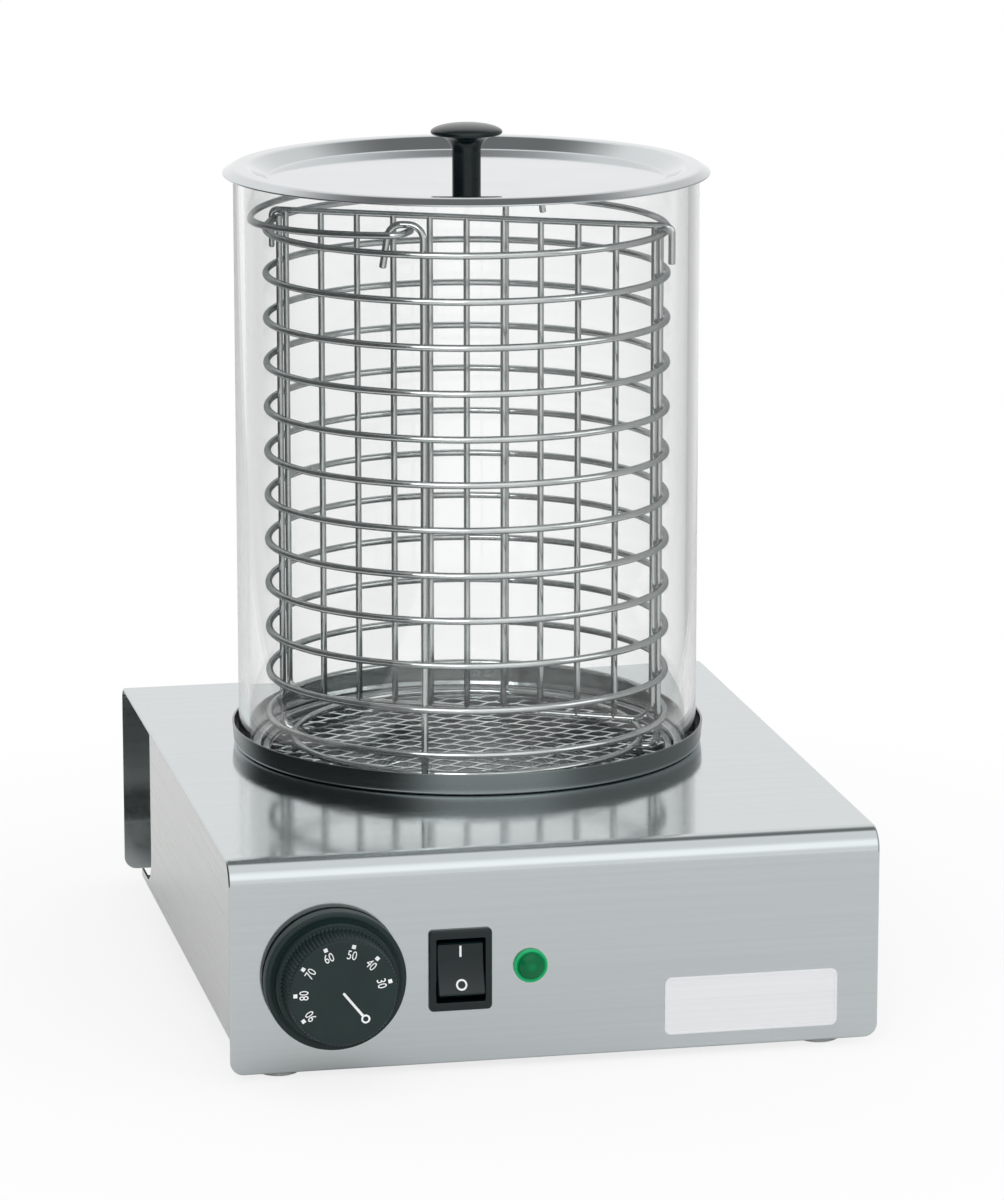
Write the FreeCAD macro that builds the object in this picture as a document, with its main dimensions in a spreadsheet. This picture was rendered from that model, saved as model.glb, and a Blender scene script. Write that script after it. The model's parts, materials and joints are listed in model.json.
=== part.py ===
import FreeCAD, Part
import math
import operator
import os
import types

import Sketcher

# A hot dog machine: a counter-top steam warmer with a sheet-steel housing, a water dish in its top,
# a glass cylinder with a lid, and a wire basket with a divider inside the glass.
# Frame: +X to the right, +Y to the back, +Z up, origin at the middle of the footprint on the table.
# All lengths are in millimetres and all angles in degrees.

Vector = FreeCAD.Vector
UP = Vector(0, 0, 1)

SIZES = {
    # Housing cover: one sheet bent into front, top and rear wall
    "body_width": 285,
    "body_depth": 332,
    "top_height": 96.5,
    "cover_sheet": 1.2,
    "front_bend": 10,
    "rear_bend": 6,
    "corner_radius": 6,
    "front_edge_lift": 3.2,
    "rear_edge_lift": 5.5,
    "hem_depth": 4,
    "hem_bend": 1,
    "hem_relief": 1,
    # Side, grip and bottom panels
    "panel_sheet": 1,
    "side_inset": 1.5,
    "side_lift": 16,
    "grip_depth": 84,
    "side_toe": 32,
    "side_toe_height": 3.5,
    "side_toe_radius": 14,
    "flange_width": 12,
    "flange_clearance": 4,
    "grip_wall_inset": 34.5,
    "grip_wall_bend": 3,
    "plate_gap": 0.5,
    "plate_front_gap": 1.2,
    "vent_length": 44,
    "vent_width": 5,
    "vent_pitch": 14,
    "vent_count": 6,
    # Screws of the bottom plate
    "screw_radius": 2,
    "screw_clearance": 0.15,
    "screw_head_radius": 3.6,
    "screw_head_height": 2.4,
    "bottom_screw_length": 8,
    "bottom_screw_margin": 22,
    # Feet
    "foot_radius": 10,
    "foot_stud_depth": 9,
    "foot_inset": 23,
    "foot_setback": 15,
    "foot_stud_length": 15,
    "nut_radius": 4,
    "nut_height": 3.2,
    # Water dish
    "dish_setback": 134.5,
    "dish_sheet": 1,
    "dish_rim_radius": 108.5,
    "dish_rim_height": 9,
    "dish_rim_taper": 0.9,
    "dish_shelf_radius": 95,
    "dish_shelf_drop": 3.8,
    "dish_well_radius": 90.5,
    "dish_well_depth": 14.5,
    "dish_hole_clearance": 1.5,
    "dish_stud_radius": 3,
    "dish_stud_length": 18,
    "seat_gap": 0.3,
    # Mesh plate over the well
    "mesh_thickness": 1.2,
    "mesh_edge_gap": 0.6,
    "mesh_border": 8.5,
    "mesh_long_pitch": 26,
    "mesh_short_pitch": 14,
    "mesh_strand": 2.4,
    # Glass cylinder
    "glass_radius": 105.4,
    "glass_wall": 5,
    "glass_height": 264,
    # Lid and knob
    "lid_sheet": 0.8,
    "lid_radius": 110.2,
    "lid_shoulder_radius": 105.8,
    "lid_edge_drop": 2.6,
    "lid_crest_radius": 99,
    "lid_flat_radius": 90,
    "lid_flat_depth": 5.3,
    "knob_stem_radius": 6.5,
    "knob_stem_height": 11,
    "knob_flare_radius": 13.5,
    "knob_flare_height": 8,
    "knob_cap_radius": 16.3,
    "knob_cap_lift": 1.2,
    "knob_dome_rise": 4,
    "knob_screw_length": 12,
    # Basket, all of round wire
    "wire_radius": 1.6,
    "wire_sides": 4,
    "weld_bite": 0.6,
    "ring_radius": 91,
    "ring_pitch": 20.4,
    "ring_count": 12,
    "first_ring_rise": 11.5,
    "foot_ring_radius": 80,
    "strut_angle": -113.5,
    "strut_foot_bend": 5,
    "strut_foot_overhang": 3,
    "strut_top_overhang": 1.6,
    "arch_width": 15,
    "arch_bend": 6.5,
    "arch_leg_drop": 19,
    "arch_leg_spread": 3,
    # Bail that carries the basket
    "arch_rise": 9.5,
    "bail_clearance": 0.4,
    "bail_drop": 3.5,
    "bail_sag": 2.5,
    "bail_bend": 4,
    "bail_pin_length": 15,
    # Divider that hangs on the top ring
    "divider_wire_radius": 1.5,
    "divider_angle": -27.5,
    "divider_half_length": 87,
    "divider_height": 228,
    "divider_bar_count": 11,
    "divider_corner_bend": 9,
    "divider_hook_bend": 3,
    "divider_hook_drop": 17,
    # Controls on the front wall
    "control_height": 44.8,
    "dial_inset": 44.5,
    "dial_reach": 25,
    "dial_gap": 1,
    "dial_skirt_radius": 30.5,
    "dial_skirt_thickness": 7,
    "dial_recess_radius": 14,
    "dial_recess_depth": 5,
    "dial_grip_radius": 24.6,
    "dial_face_radius": 23.2,
    "dial_flute_count": 48,
    "dial_flute_bottom": 22.8,
    "dial_flute_width": 1.5,
    "dial_bore_depth": 14,
    "shaft_radius": 3,
    "running_fit": 0.05,
    "shaft_depth": 12,
    "bush_radius": 4.8,
    "bush_hole_gap": 0.2,
    "bush_reach": 3.6,
    "bush_nut_radius": 8.6,
    "bush_nut_height": 3,
    "thermostat_width": 36,
    "thermostat_height": 42,
    "thermostat_depth": 28,
    "thermostat_port_radius": 2.4,
    "thermostat_port_length": 4,
    "thermostat_port_rise": 8,
    "blade_width": 6.3,
    "blade_thickness": 0.8,
    "blade_length": 9,
    # Rocker switch
    "switch_spacing": 55.1,
    "bezel_width": 27.6,
    "bezel_height": 36,
    "bezel_thickness": 2.2,
    "bezel_corner": 2,
    "switch_body_width": 24.4,
    "switch_body_height": 32,
    "switch_body_depth": 26,
    "switch_cutout_gap": 0.25,
    "switch_well_width": 21.2,
    "switch_well_height": 28,
    "switch_well_depth": 11,
    "rocker_side_gap": 0.3,
    "rocker_half_height": 12.8,
    "rocker_end_reach": 5.4,
    "rocker_middle_reach": 3.6,
    "rocker_back_end": 1,
    "rocker_back_middle": 5,
    "rocker_back_half": 5,
    "rocker_tilt": 11,
    "rocker_pivot_depth": 2,
    "rocker_pin_radius": 1.5,
    "rocker_pin_length": 1.2,
    # Pilot lamp
    "lamp_spacing": 30.7,
    "lamp_flange_radius": 7.4,
    "lamp_flange_height": 1.5,
    "lamp_dome_radius": 5.8,
    "lamp_dome_rise": 2.4,
    "lamp_body_radius": 5,
    "lamp_body_length": 24,
    "lamp_hole_gap": 0.2,
    "lamp_nut_radius": 8,
    "lamp_nut_height": 3,
    # Heating element under the dish
    "heater_radius": 52,
    "heater_section": 8,
    "heater_gap_angle": 40,
    "heater_leg_length": 20,
    "clamp_plate_radius": 63,
    "clamp_plate_sheet": 1.5,
    "clamp_notch_width": 52,
    "clamp_notch_depth": 24,
    "heater_nut_radius": 5.8,
    "heater_nut_height": 5,
    "limiter_radius": 8,
    "limiter_height": 9,
    "limiter_offset": 40,
    # Thermostat's feeler
    "bulb_radius": 3,
    "bulb_length": 70,
    "bulb_offset": 74,
    "bulb_gap": 0.2,
    "bulb_clip_sheet": 0.8,
    "bulb_clip_width": 10,
    "bulb_clip_spread": 22,
    "bulb_clip_foot": 7,
    "capillary_radius": 1,
    "capillary_bend": 12,
    "capillary_run": 30,
    "capillary_drop_back": 64,
    # Mains connection
    "gland_inset": 82.5,
    "gland_height": 45,
    "gland_reach": 18,
    "gland_thread_radius": 8,
    "gland_thread_length": 9,
    "gland_flange_radius": 11.5,
    "gland_flange_height": 5,
    "gland_nut_radius": 9.6,
    "gland_mouth_radius": 6.6,
    "gland_mouth_height": 4,
    "gland_bore_radius": 4.2,
    "gland_hole_gap": 0.2,
    "locknut_radius": 12,
    "locknut_height": 4,
    "terminal_width": 36,
    "terminal_depth": 20,
    "terminal_height": 15,
    "terminal_setback": 62,
    "terminal_hole_radius": 2.2,
    "terminal_hole_pitch": 11,
    "terminal_hole_count": 3,
    "earth_spacing": 30,
    "earth_stud_radius": 2.5,
    "earth_stud_length": 14,
    "earth_nut_radius": 4.6,
    "earth_nut_height": 4,
}

FULL_TURN = 360
QUARTER_TURN = 90
HALF_TURN = 180
# A small round form is turned from this many cones
CURVE_STEPS = 3
# A cutting tool passes the face it leaves by this much
OVERSHOOT = 1

doc = FreeCAD.newDocument("hot_dog_machine")
sheet = doc.addObject("Spreadsheet::Sheet", "sizes")
for row, (alias, number) in enumerate(SIZES.items(), start=1):
    sheet.set(f"A{row}", alias)
    sheet.set(f"B{row}", str(number))
    sheet.setAlias(f"B{row}", alias)
doc.recompute()


class Size:
    """A number that knows its value now and the sheet formula that it comes from."""

    def __init__(self, value, formula):
        self.value = float(value)
        self.formula = formula

    def __float__(self):
        return self.value

    def __add__(self, other):
        return combine(operator.add, self, "+", other)

    def __radd__(self, other):
        return combine(operator.add, other, "+", self)

    def __sub__(self, other):
        return combine(operator.sub, self, "-", other)

    def __rsub__(self, other):
        return combine(operator.sub, other, "-", self)

    def __mul__(self, other):
        return combine(operator.mul, self, "*", other)

    def __rmul__(self, other):
        return combine(operator.mul, other, "*", self)

    def __truediv__(self, other):
        return combine(operator.truediv, self, "/", other)

    def __neg__(self):
        return Size(-self.value, f"(-1 * {self.formula})")


def as_size(number):
    if isinstance(number, Size):
        return number
    return Size(number, repr(float(number)))


def combine(work, left, sign, right):
    left = as_size(left)
    right = as_size(right)
    return Size(work(left.value, right.value), f"({left.formula} {sign} {right.formula})")


d = types.SimpleNamespace(**{alias: Size(sheet.get(alias), f"sizes.{alias}") for alias in SIZES})

# Planes that several pieces share
front_face = (d.dial_reach - d.gland_reach - d.body_depth) / 2
rear_face = front_face + d.body_depth
front_inside = front_face + d.cover_sheet
rear_inside = rear_face - d.cover_sheet
half_width = d.body_width / 2
top_inside = d.top_height - d.cover_sheet
side_outside = half_width - d.side_inset
side_inside = side_outside - d.panel_sheet
side_back = rear_face - d.grip_depth
toe_back = side_back + d.side_toe
dish_centre = rear_face - d.dish_setback
ledge_top = d.top_height + d.dish_sheet
shelf_top = ledge_top - d.dish_shelf_drop
well_floor = ledge_top - d.dish_well_depth
well_underside = well_floor - d.dish_sheet
mesh_bottom = shelf_top + d.seat_gap
mesh_top = mesh_bottom + d.mesh_thickness
glass_bottom = ledge_top + d.seat_gap
glass_top = glass_bottom + d.glass_height
crest_underside = glass_top + d.seat_gap
crest_top = crest_underside + d.lid_sheet
flat_top = crest_top - d.lid_flat_depth
foot_wire_height = mesh_top + d.seat_gap + d.wire_radius
foot_ring_height = foot_wire_height + 2 * d.wire_radius - d.weld_bite
first_ring_height = foot_ring_height + d.first_ring_rise
top_ring_height = first_ring_height + (d.ring_count - 1) * d.ring_pitch
strut_radius = d.ring_radius - 2 * d.wire_radius + d.weld_bite
divider_bar_height = top_ring_height + d.wire_radius + d.seat_gap + d.divider_wire_radius
divider_hook_radius = d.ring_radius + d.wire_radius + d.seat_gap + d.divider_wire_radius
arch_height = divider_bar_height + d.arch_rise
bail_height = arch_height - d.bail_drop
bail_radius = divider_hook_radius + d.divider_wire_radius + d.bail_clearance + d.wire_radius
grip_wall = half_width - d.grip_wall_inset
foot_x = half_width - d.foot_inset
dial_x = d.dial_inset - half_width
switch_x = dial_x + d.switch_spacing
lamp_x = switch_x + d.lamp_spacing
gland_x = half_width - d.gland_inset
earth_x = gland_x + d.earth_spacing


def bind(thing, prop, length):
    """Give a property its value from the sheet."""
    thing.setExpression(prop, as_size(length).formula)


def turned(direction):
    """Rotation that points an object's own Z axis along a named direction."""
    turns = {
        "up": (Vector(1, 0, 0), 0),
        "down": (Vector(1, 0, 0), HALF_TURN),
        "front": (Vector(1, 0, 0), QUARTER_TURN),
        "back": (Vector(1, 0, 0), -QUARTER_TURN),
        "right": (Vector(0, 1, 0), QUARTER_TURN),
        "left": (Vector(0, 1, 0), -QUARTER_TURN),
    }
    return FreeCAD.Rotation(*turns[direction])


def place(thing, x, y, z, direction="up"):
    """Put an object's own origin at x, y, z with its Z axis along a direction."""
    thing.Placement = FreeCAD.Placement(Vector(float(x), float(y), float(z)), turned(direction))
    for prop, length in (("x", x), ("y", y), ("z", z)):
        bind(thing, f".Placement.Base.{prop}", length)


# Sketches and the features that grow from them

def start_sketch(body, name, plane, offset=None):
    """Sketch on one of the body's own origin planes, moved along that plane's normal."""
    sketch = body.newObject("Sketcher::SketchObject", name)
    support = [feature for feature in body.Origin.OriginFeatures if feature.Role == plane][0]
    sketch.AttachmentSupport = [(support, "")]
    sketch.MapMode = "FlatFace"
    if offset is not None:
        bind(sketch, ".AttachmentOffset.Base.z", offset)
    return sketch


def hold(sketch, curve, point, x, y):
    """Hold one point of a curve at x, y from the sketch's origin."""
    for kind, length, axis in (("DistanceX", as_size(x), -2), ("DistanceY", as_size(y), -1)):
        if length.formula == "0.0":
            sketch.addConstraint(Sketcher.Constraint("PointOnObject", curve, point, axis))
        else:
            number = sketch.addConstraint(Sketcher.Constraint(kind, -1, 1, curve, point, length.value))
            bind(sketch, f"Constraints[{number}]", length)


def draw_outline(sketch, corners):
    """Closed straight-sided outline through corners."""
    points = [Vector(float(x), float(y), 0) for x, y in corners]
    count = len(points)
    lines = [sketch.addGeometry(Part.LineSegment(points[index], points[(index + 1) % count]), False)
             for index in range(count)]
    for index, line in enumerate(lines):
        sketch.addConstraint(Sketcher.Constraint("Coincident", line, 2, lines[(index + 1) % count], 1))
        hold(sketch, line, 1, *corners[index])


def draw_circle(sketch, x, y, radius):
    centre = Vector(float(x), float(y), 0)
    curve = sketch.addGeometry(Part.Circle(centre, UP, float(radius)), False)
    hold(sketch, curve, 3, x, y)
    number = sketch.addConstraint(Sketcher.Constraint("Radius", curve, float(radius)))
    bind(sketch, f"Constraints[{number}]", radius)


def rectangle(x_low, y_low, x_high, y_high):
    return [(x_low, y_low), (x_high, y_low), (x_high, y_high), (x_low, y_high)]


def new_body(name):
    return doc.addObject("PartDesign::Body", name)


def pad(body, name, sketch, length, both_ways=False, backwards=False):
    feature = body.newObject("PartDesign::Pad", name)
    feature.Profile = sketch
    feature.SideType = "Symmetric" if both_ways else "One side"
    feature.Reversed = backwards
    bind(feature, "Length", length)
    doc.recompute()
    return feature


def pocket(body, name, sketch, length, backwards=False, both_ways=False):
    """Cut a sketch into the body, and check that it has taken material away."""
    before = body.Shape.Volume
    feature = body.newObject("PartDesign::Pocket", name)
    feature.Profile = sketch
    feature.SideType = "Symmetric" if both_ways else "One side"
    feature.Reversed = backwards
    bind(feature, "Length", length)
    doc.recompute()
    if not body.Shape.Volume < before:
        raise RuntimeError(f"{name} cuts nothing")
    return feature


def revolve(body, name, sketch):
    """Turn a sketch once around its own vertical axis."""
    feature = body.newObject("PartDesign::Revolution", name)
    feature.Profile = sketch
    feature.ReferenceAxis = (sketch, ["V_Axis"])
    feature.Angle = FULL_TURN
    doc.recompute()
    return feature


def turned_body(name, corners):
    """Body of revolution about its own Z axis from an outline of radius and height."""
    body = new_body(name)
    sketch = start_sketch(body, f"{name}_profile", "XZ_Plane")
    draw_outline(sketch, corners)
    revolve(body, f"{name}_turn", sketch)
    return body


def round_edges(body, name, radius, wanted):
    """Round those edges of the body that a test picks out."""
    base = body.Tip
    picked = [f"Edge{number}" for number, edge in enumerate(base.Shape.Edges, start=1) if wanted(edge)]
    if not picked:
        raise RuntimeError(f"{name} finds no edge")
    feature = body.newObject("PartDesign::Fillet", name)
    feature.Base = (base, picked)
    bind(feature, "Radius", radius)
    doc.recompute()
    return feature


NEAR = 1e-4


def near(first, second):
    return abs(float(first) - float(second)) < NEAR


def straight_edge(direction, matches):
    """Test for straight edges along a direction whose two ends both match."""
    def wanted(edge):
        ends = [vertex.Point for vertex in edge.Vertexes]
        if len(ends) != 2 or not all(matches(end) for end in ends):
            return False
        return (ends[1] - ends[0]).cross(direction).Length < NEAR
    return wanted


def along_x(y, z):
    """Edges along X at y, z."""
    return straight_edge(Vector(1, 0, 0), lambda end: near(end.y, y) and near(end.z, z))


def along_y(x, z):
    """Edges along Y at plus or minus x, and z."""
    return straight_edge(Vector(0, 1, 0), lambda end: near(abs(end.x), x) and near(end.z, z))


def along_z(x, y):
    """Edges along Z at plus or minus x, and y."""
    return straight_edge(UP, lambda end: near(abs(end.x), x) and near(end.y, y))


# Primitives and booleans

def cylinder(name, radius, height, x, y, z, direction="up"):
    piece = doc.addObject("Part::Cylinder", name)
    bind(piece, "Radius", radius)
    bind(piece, "Height", height)
    place(piece, x, y, z, direction)
    return piece


def hexagon(name, radius, height, x, y, z, direction="up"):
    piece = doc.addObject("Part::Prism", name)
    piece.Polygon = 6
    bind(piece, "Circumradius", radius)
    bind(piece, "Height", height)
    place(piece, x, y, z, direction)
    return piece


def block(name, x_low, x_size, y_low, y_size, z_low, z_size):
    piece = doc.addObject("Part::Box", name)
    bind(piece, "Length", x_size)
    bind(piece, "Width", y_size)
    bind(piece, "Height", z_size)
    place(piece, x_low, y_low, z_low)
    return piece


def fuse(name, pieces):
    whole = doc.addObject("Part::MultiFuse", name)
    whole.Shapes = pieces
    return whole


def cut(name, base, tools):
    tool = doc.addObject("Part::Compound", f"{name}_tools")
    tool.Links = tools
    rest = doc.addObject("Part::Cut", name)
    rest.Base = base
    rest.Tool = tool
    return rest


def group(name, pieces):
    """Several alike solids that share one node."""
    whole = doc.addObject("Part::Compound", name)
    whole.Links = pieces
    return whole


OPPOSITE = {"up": "down", "down": "up", "front": "back", "back": "front"}


def screw(name, x, y, z, direction, length, radius=d.screw_radius, head_radius=d.screw_head_radius,
          head_height=d.screw_head_height):
    """Hexagon-head screw whose head sits on x, y, z and whose shank runs along a direction."""
    head = hexagon(f"{name}_head", head_radius, head_height, x, y, z, OPPOSITE[direction])
    shank = cylinder(f"{name}_shank", radius, length, x, y, z, direction)
    return fuse(name, [head, shank])


def nut(name, radius, bore, height, x, y, z, direction="up"):
    whole = hexagon(f"{name}_hexagon", radius, height, x, y, z, direction)
    hole = cylinder(f"{name}_hole", bore, height, x, y, z, direction)
    return cut(name, whole, [hole])


nodes = []


def hand_over(piece, node):
    """Make an object one of the pieces that are written out, under its node's name."""
    piece.Label = node
    nodes.append(piece)
    return piece


# Housing cover

shaft_hole = d.bush_radius + d.bush_hole_gap
lamp_hole = d.lamp_body_radius + d.lamp_hole_gap
gland_hole = d.gland_thread_radius + d.gland_hole_gap
screw_hole = d.screw_radius + d.screw_clearance
dish_hole = d.dish_shelf_radius + d.dish_sheet + d.dish_hole_clearance

cover = new_body("cover")
profile = start_sketch(cover, "cover_profile", "YZ_Plane")
draw_outline(profile, [
    (front_face, d.front_edge_lift),
    (front_inside, d.front_edge_lift),
    (front_inside, top_inside),
    (rear_inside, top_inside),
    (rear_inside, d.rear_edge_lift),
    (rear_face, d.rear_edge_lift),
    (rear_face, d.top_height),
    (front_face, d.top_height),
])
pad(cover, "cover_sheet", profile, d.body_width, both_ways=True)
round_edges(cover, "front_bend_outside", d.front_bend, along_x(front_face, d.top_height))
round_edges(cover, "front_bend_inside", d.front_bend - d.cover_sheet, along_x(front_inside, top_inside))
round_edges(cover, "rear_bend_outside", d.rear_bend, along_x(rear_face, d.top_height))
round_edges(cover, "rear_bend_inside", d.rear_bend - d.cover_sheet, along_x(rear_inside, top_inside))
round_edges(cover, "front_corners", d.corner_radius, along_y(half_width, d.front_edge_lift))
round_edges(cover, "rear_corners", d.corner_radius, along_y(half_width, d.rear_edge_lift))
# The front wall's lower edge is turned in between its rounded corners
hem_half_width = half_width - d.corner_radius - d.hem_relief
hem = start_sketch(cover, "front_hem_plan", "XY_Plane", d.front_edge_lift)
draw_outline(hem, rectangle(-hem_half_width, front_face, hem_half_width, front_face + d.hem_depth))
pad(cover, "front_hem", hem, d.cover_sheet)
round_edges(cover, "front_hem_bend", d.hem_bend, along_x(front_face, d.front_edge_lift))
front_holes = start_sketch(cover, "front_holes", "XZ_Plane")
draw_circle(front_holes, dial_x, d.control_height, shaft_hole)
draw_circle(front_holes, lamp_x, d.control_height, lamp_hole)
cutout_half_width = d.switch_body_width / 2 + d.switch_cutout_gap
cutout_half_height = d.switch_body_height / 2 + d.switch_cutout_gap
draw_outline(front_holes, rectangle(
    switch_x - cutout_half_width, d.control_height - cutout_half_height,
    switch_x + cutout_half_width, d.control_height + cutout_half_height))
pocket(cover, "front_cuts", front_holes, OVERSHOOT - front_face, backwards=True)
rear_hole = start_sketch(cover, "rear_hole", "XZ_Plane")
draw_circle(rear_hole, gland_x, d.gland_height, gland_hole)
pocket(cover, "rear_cut", rear_hole, rear_face + OVERSHOOT)
top_hole = start_sketch(cover, "top_hole", "XY_Plane")
draw_circle(top_hole, 0, dish_centre, dish_hole)
pocket(cover, "top_cut", top_hole, d.top_height + OVERSHOOT, backwards=True)
hand_over(cover, "housing_cover")

# Side panels: a flat sheet with a flange along the top and one along the bottom

flange_front = front_face + d.front_bend + OVERSHOOT
flange_back = side_back - d.flange_clearance
bottom_screw_x = side_outside - d.flange_width / 2 - d.panel_sheet / 2
BOTTOM_SCREW_ROWS = 3
bottom_screw_first = flange_front + d.bottom_screw_margin
bottom_screw_pitch = (flange_back - d.bottom_screw_margin - bottom_screw_first) / (BOTTOM_SCREW_ROWS - 1)
bottom_screw_rows = [bottom_screw_first + step * bottom_screw_pitch for step in range(BOTTOM_SCREW_ROWS)]


def make_side_panel(hand, sign):
    panel = new_body(f"side_{hand}")
    low = -side_outside if sign < 0 else side_inside
    outline = start_sketch(panel, f"side_{hand}_outline", "YZ_Plane", low)
    toe_top = d.side_lift + d.side_toe_height
    draw_outline(outline, [
        (front_inside, d.side_lift),
        (toe_back, d.side_lift),
        (toe_back, toe_top),
        (side_back, toe_top),
        (side_back, top_inside),
        (front_inside, top_inside),
    ])
    pad(panel, f"side_{hand}_sheet", outline, d.panel_sheet)
    round_edges(panel, f"side_{hand}_front_corner", d.front_bend, along_x(front_inside, top_inside))
    round_edges(panel, f"side_{hand}_toe", d.side_toe_radius, along_x(side_back, toe_top))
    edge = sign * side_outside
    inner = sign * (side_outside - d.flange_width)
    flange = rectangle(min(edge, inner, key=float), flange_front, max(edge, inner, key=float), flange_back)
    top_flange = start_sketch(panel, f"side_{hand}_top_flange", "XY_Plane", top_inside - d.panel_sheet)
    draw_outline(top_flange, flange)
    pad(panel, f"side_{hand}_top", top_flange, d.panel_sheet)
    bottom_flange = start_sketch(panel, f"side_{hand}_bottom_flange", "XY_Plane", d.side_lift)
    draw_outline(bottom_flange, flange)
    for screw_y in bottom_screw_rows:
        draw_circle(bottom_flange, sign * bottom_screw_x, screw_y, screw_hole)
    pad(panel, f"side_{hand}_bottom", bottom_flange, d.panel_sheet)
    hand_over(panel, f"side_panel_{hand}")


make_side_panel("left", -1)
make_side_panel("right", 1)


# Grip panels: close the housing inside the open hand grips at the rear corners

def make_grip_panel(hand, sign):
    panel = new_body(f"grip_{hand}")
    plan = start_sketch(panel, f"grip_{hand}_plan", "XY_Plane", d.side_lift)
    wall_inside = grip_wall - d.panel_sheet
    draw_outline(plan, [
        (sign * side_inside, side_back - d.panel_sheet),
        (sign * side_inside, side_back),
        (sign * grip_wall, side_back),
        (sign * grip_wall, rear_inside),
        (sign * wall_inside, rear_inside),
        (sign * wall_inside, side_back - d.panel_sheet),
    ])
    pad(panel, f"grip_{hand}_sheet", plan, top_inside - d.side_lift)
    round_edges(panel, f"grip_{hand}_rear_corner", d.rear_bend, along_x(rear_inside, top_inside))
    round_edges(panel, f"grip_{hand}_bend_outside", d.grip_wall_bend,
                along_z(wall_inside, side_back - d.panel_sheet))
    round_edges(panel, f"grip_{hand}_bend_inside", d.grip_wall_bend - d.panel_sheet,
                along_z(grip_wall, side_back))
    hand_over(panel, f"grip_panel_{hand}")


make_grip_panel("left", -1)
make_grip_panel("right", 1)

# Bottom plate with a tongue between the grip panels, and its screws

plate_half = side_inside - d.plate_gap
plate_front = front_inside + d.plate_front_gap
plate_under = d.side_lift - d.panel_sheet
foot_front = front_face + d.foot_setback
foot_back = toe_back - d.foot_setback
foot_places = {
    "front_left": (-foot_x, foot_front),
    "front_right": (foot_x, foot_front),
    "rear_left": (-foot_x, foot_back),
    "rear_right": (foot_x, foot_back),
}
bottom_screw_places = [(sign * bottom_screw_x, y) for sign in (-1, 1) for y in bottom_screw_rows]

plate = new_body("plate")
plate_plan = start_sketch(plate, "plate_plan", "XY_Plane", plate_under)
draw_outline(plate_plan, [
    (-plate_half, plate_front),
    (plate_half, plate_front),
    (plate_half, toe_back),
    (grip_wall, toe_back),
    (grip_wall, rear_inside - d.plate_gap),
    (-grip_wall, rear_inside - d.plate_gap),
    (-grip_wall, toe_back),
    (-plate_half, toe_back),
])
for x, y in bottom_screw_places + list(foot_places.values()):
    draw_circle(plate_plan, x, y, screw_hole)
for number in range(SIZES["vent_count"]):
    vent_y = dish_centre + (number - (SIZES["vent_count"] - 1) / 2) * d.vent_pitch
    draw_outline(plate_plan, rectangle(-d.vent_length / 2, vent_y - d.vent_width / 2,
                                       d.vent_length / 2, vent_y + d.vent_width / 2))
pad(plate, "plate_sheet", plate_plan, d.panel_sheet)
hand_over(plate, "bottom_plate")

hand_over(group("bottom_screw_group", [
    screw(f"bottom_screw_{number}", x, y, plate_under, "up", d.bottom_screw_length)
    for number, (x, y) in enumerate(bottom_screw_places)
]), "bottom_screws")

# Feet with their studs and nuts

foot_bore = d.screw_radius + d.running_fit
stud_bottom = plate_under - d.foot_stud_depth
for corner, (x, y) in foot_places.items():
    foot = turned_body(f"foot_{corner}_form", [
        (0, 0),
        (d.foot_radius, 0),
        (d.foot_radius, plate_under),
        (foot_bore, plate_under),
        (foot_bore, stud_bottom),
        (0, stud_bottom),
    ])
    place(foot, x, y, 0)
    hand_over(foot, f"foot_{corner}")

hand_over(group("foot_stud_group", [
    cylinder(f"foot_stud_{corner}", d.screw_radius, d.foot_stud_length, x, y, stud_bottom)
    for corner, (x, y) in foot_places.items()
]), "foot_studs")

hand_over(group("foot_nut_group", [
    nut(f"foot_nut_{corner}", d.nut_radius, d.screw_radius + d.running_fit, d.nut_height, x, y, d.side_lift)
    for corner, (x, y) in foot_places.items()
]), "foot_nuts")

# Water dish: rim, ledge for the glass, shelf for the mesh plate and well, with a stud welded under its floor

ledge_radius = d.dish_rim_radius - d.dish_sheet - d.dish_rim_taper
rim_top = ledge_top + d.dish_rim_height
dish = turned_body("dish", [
    (0, well_underside),
    (d.dish_well_radius + d.dish_sheet, well_underside),
    (d.dish_well_radius + d.dish_sheet, shelf_top - d.dish_sheet),
    (d.dish_shelf_radius + d.dish_sheet, shelf_top - d.dish_sheet),
    (d.dish_shelf_radius + d.dish_sheet, d.top_height),
    (ledge_radius + d.dish_sheet, d.top_height),
    (d.dish_rim_radius, rim_top),
    (d.dish_rim_radius - d.dish_sheet, rim_top),
    (ledge_radius, ledge_top),
    (d.dish_shelf_radius, ledge_top),
    (d.dish_shelf_radius, shelf_top),
    (d.dish_well_radius, shelf_top),
    (d.dish_well_radius, well_floor),
    (0, well_floor),
])
place(dish, 0, dish_centre, 0)
hand_over(dish, "water_dish")
hand_over(cylinder("welded_stud", d.dish_stud_radius, d.dish_stud_length, 0, dish_centre, well_underside, "down"),
          "dish_stud")


# Mesh plate: a disc of expanded sheet with diamond openings inside a flat border

def diamond(centre, half_long, half_short):
    corners = [Vector(half_long, 0, 0), Vector(0, half_short, 0), Vector(-half_long, 0, 0),
               Vector(0, -half_short, 0)]
    points = [centre + corner for corner in corners]
    return Part.makePolygon(points + points[:1])


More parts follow.
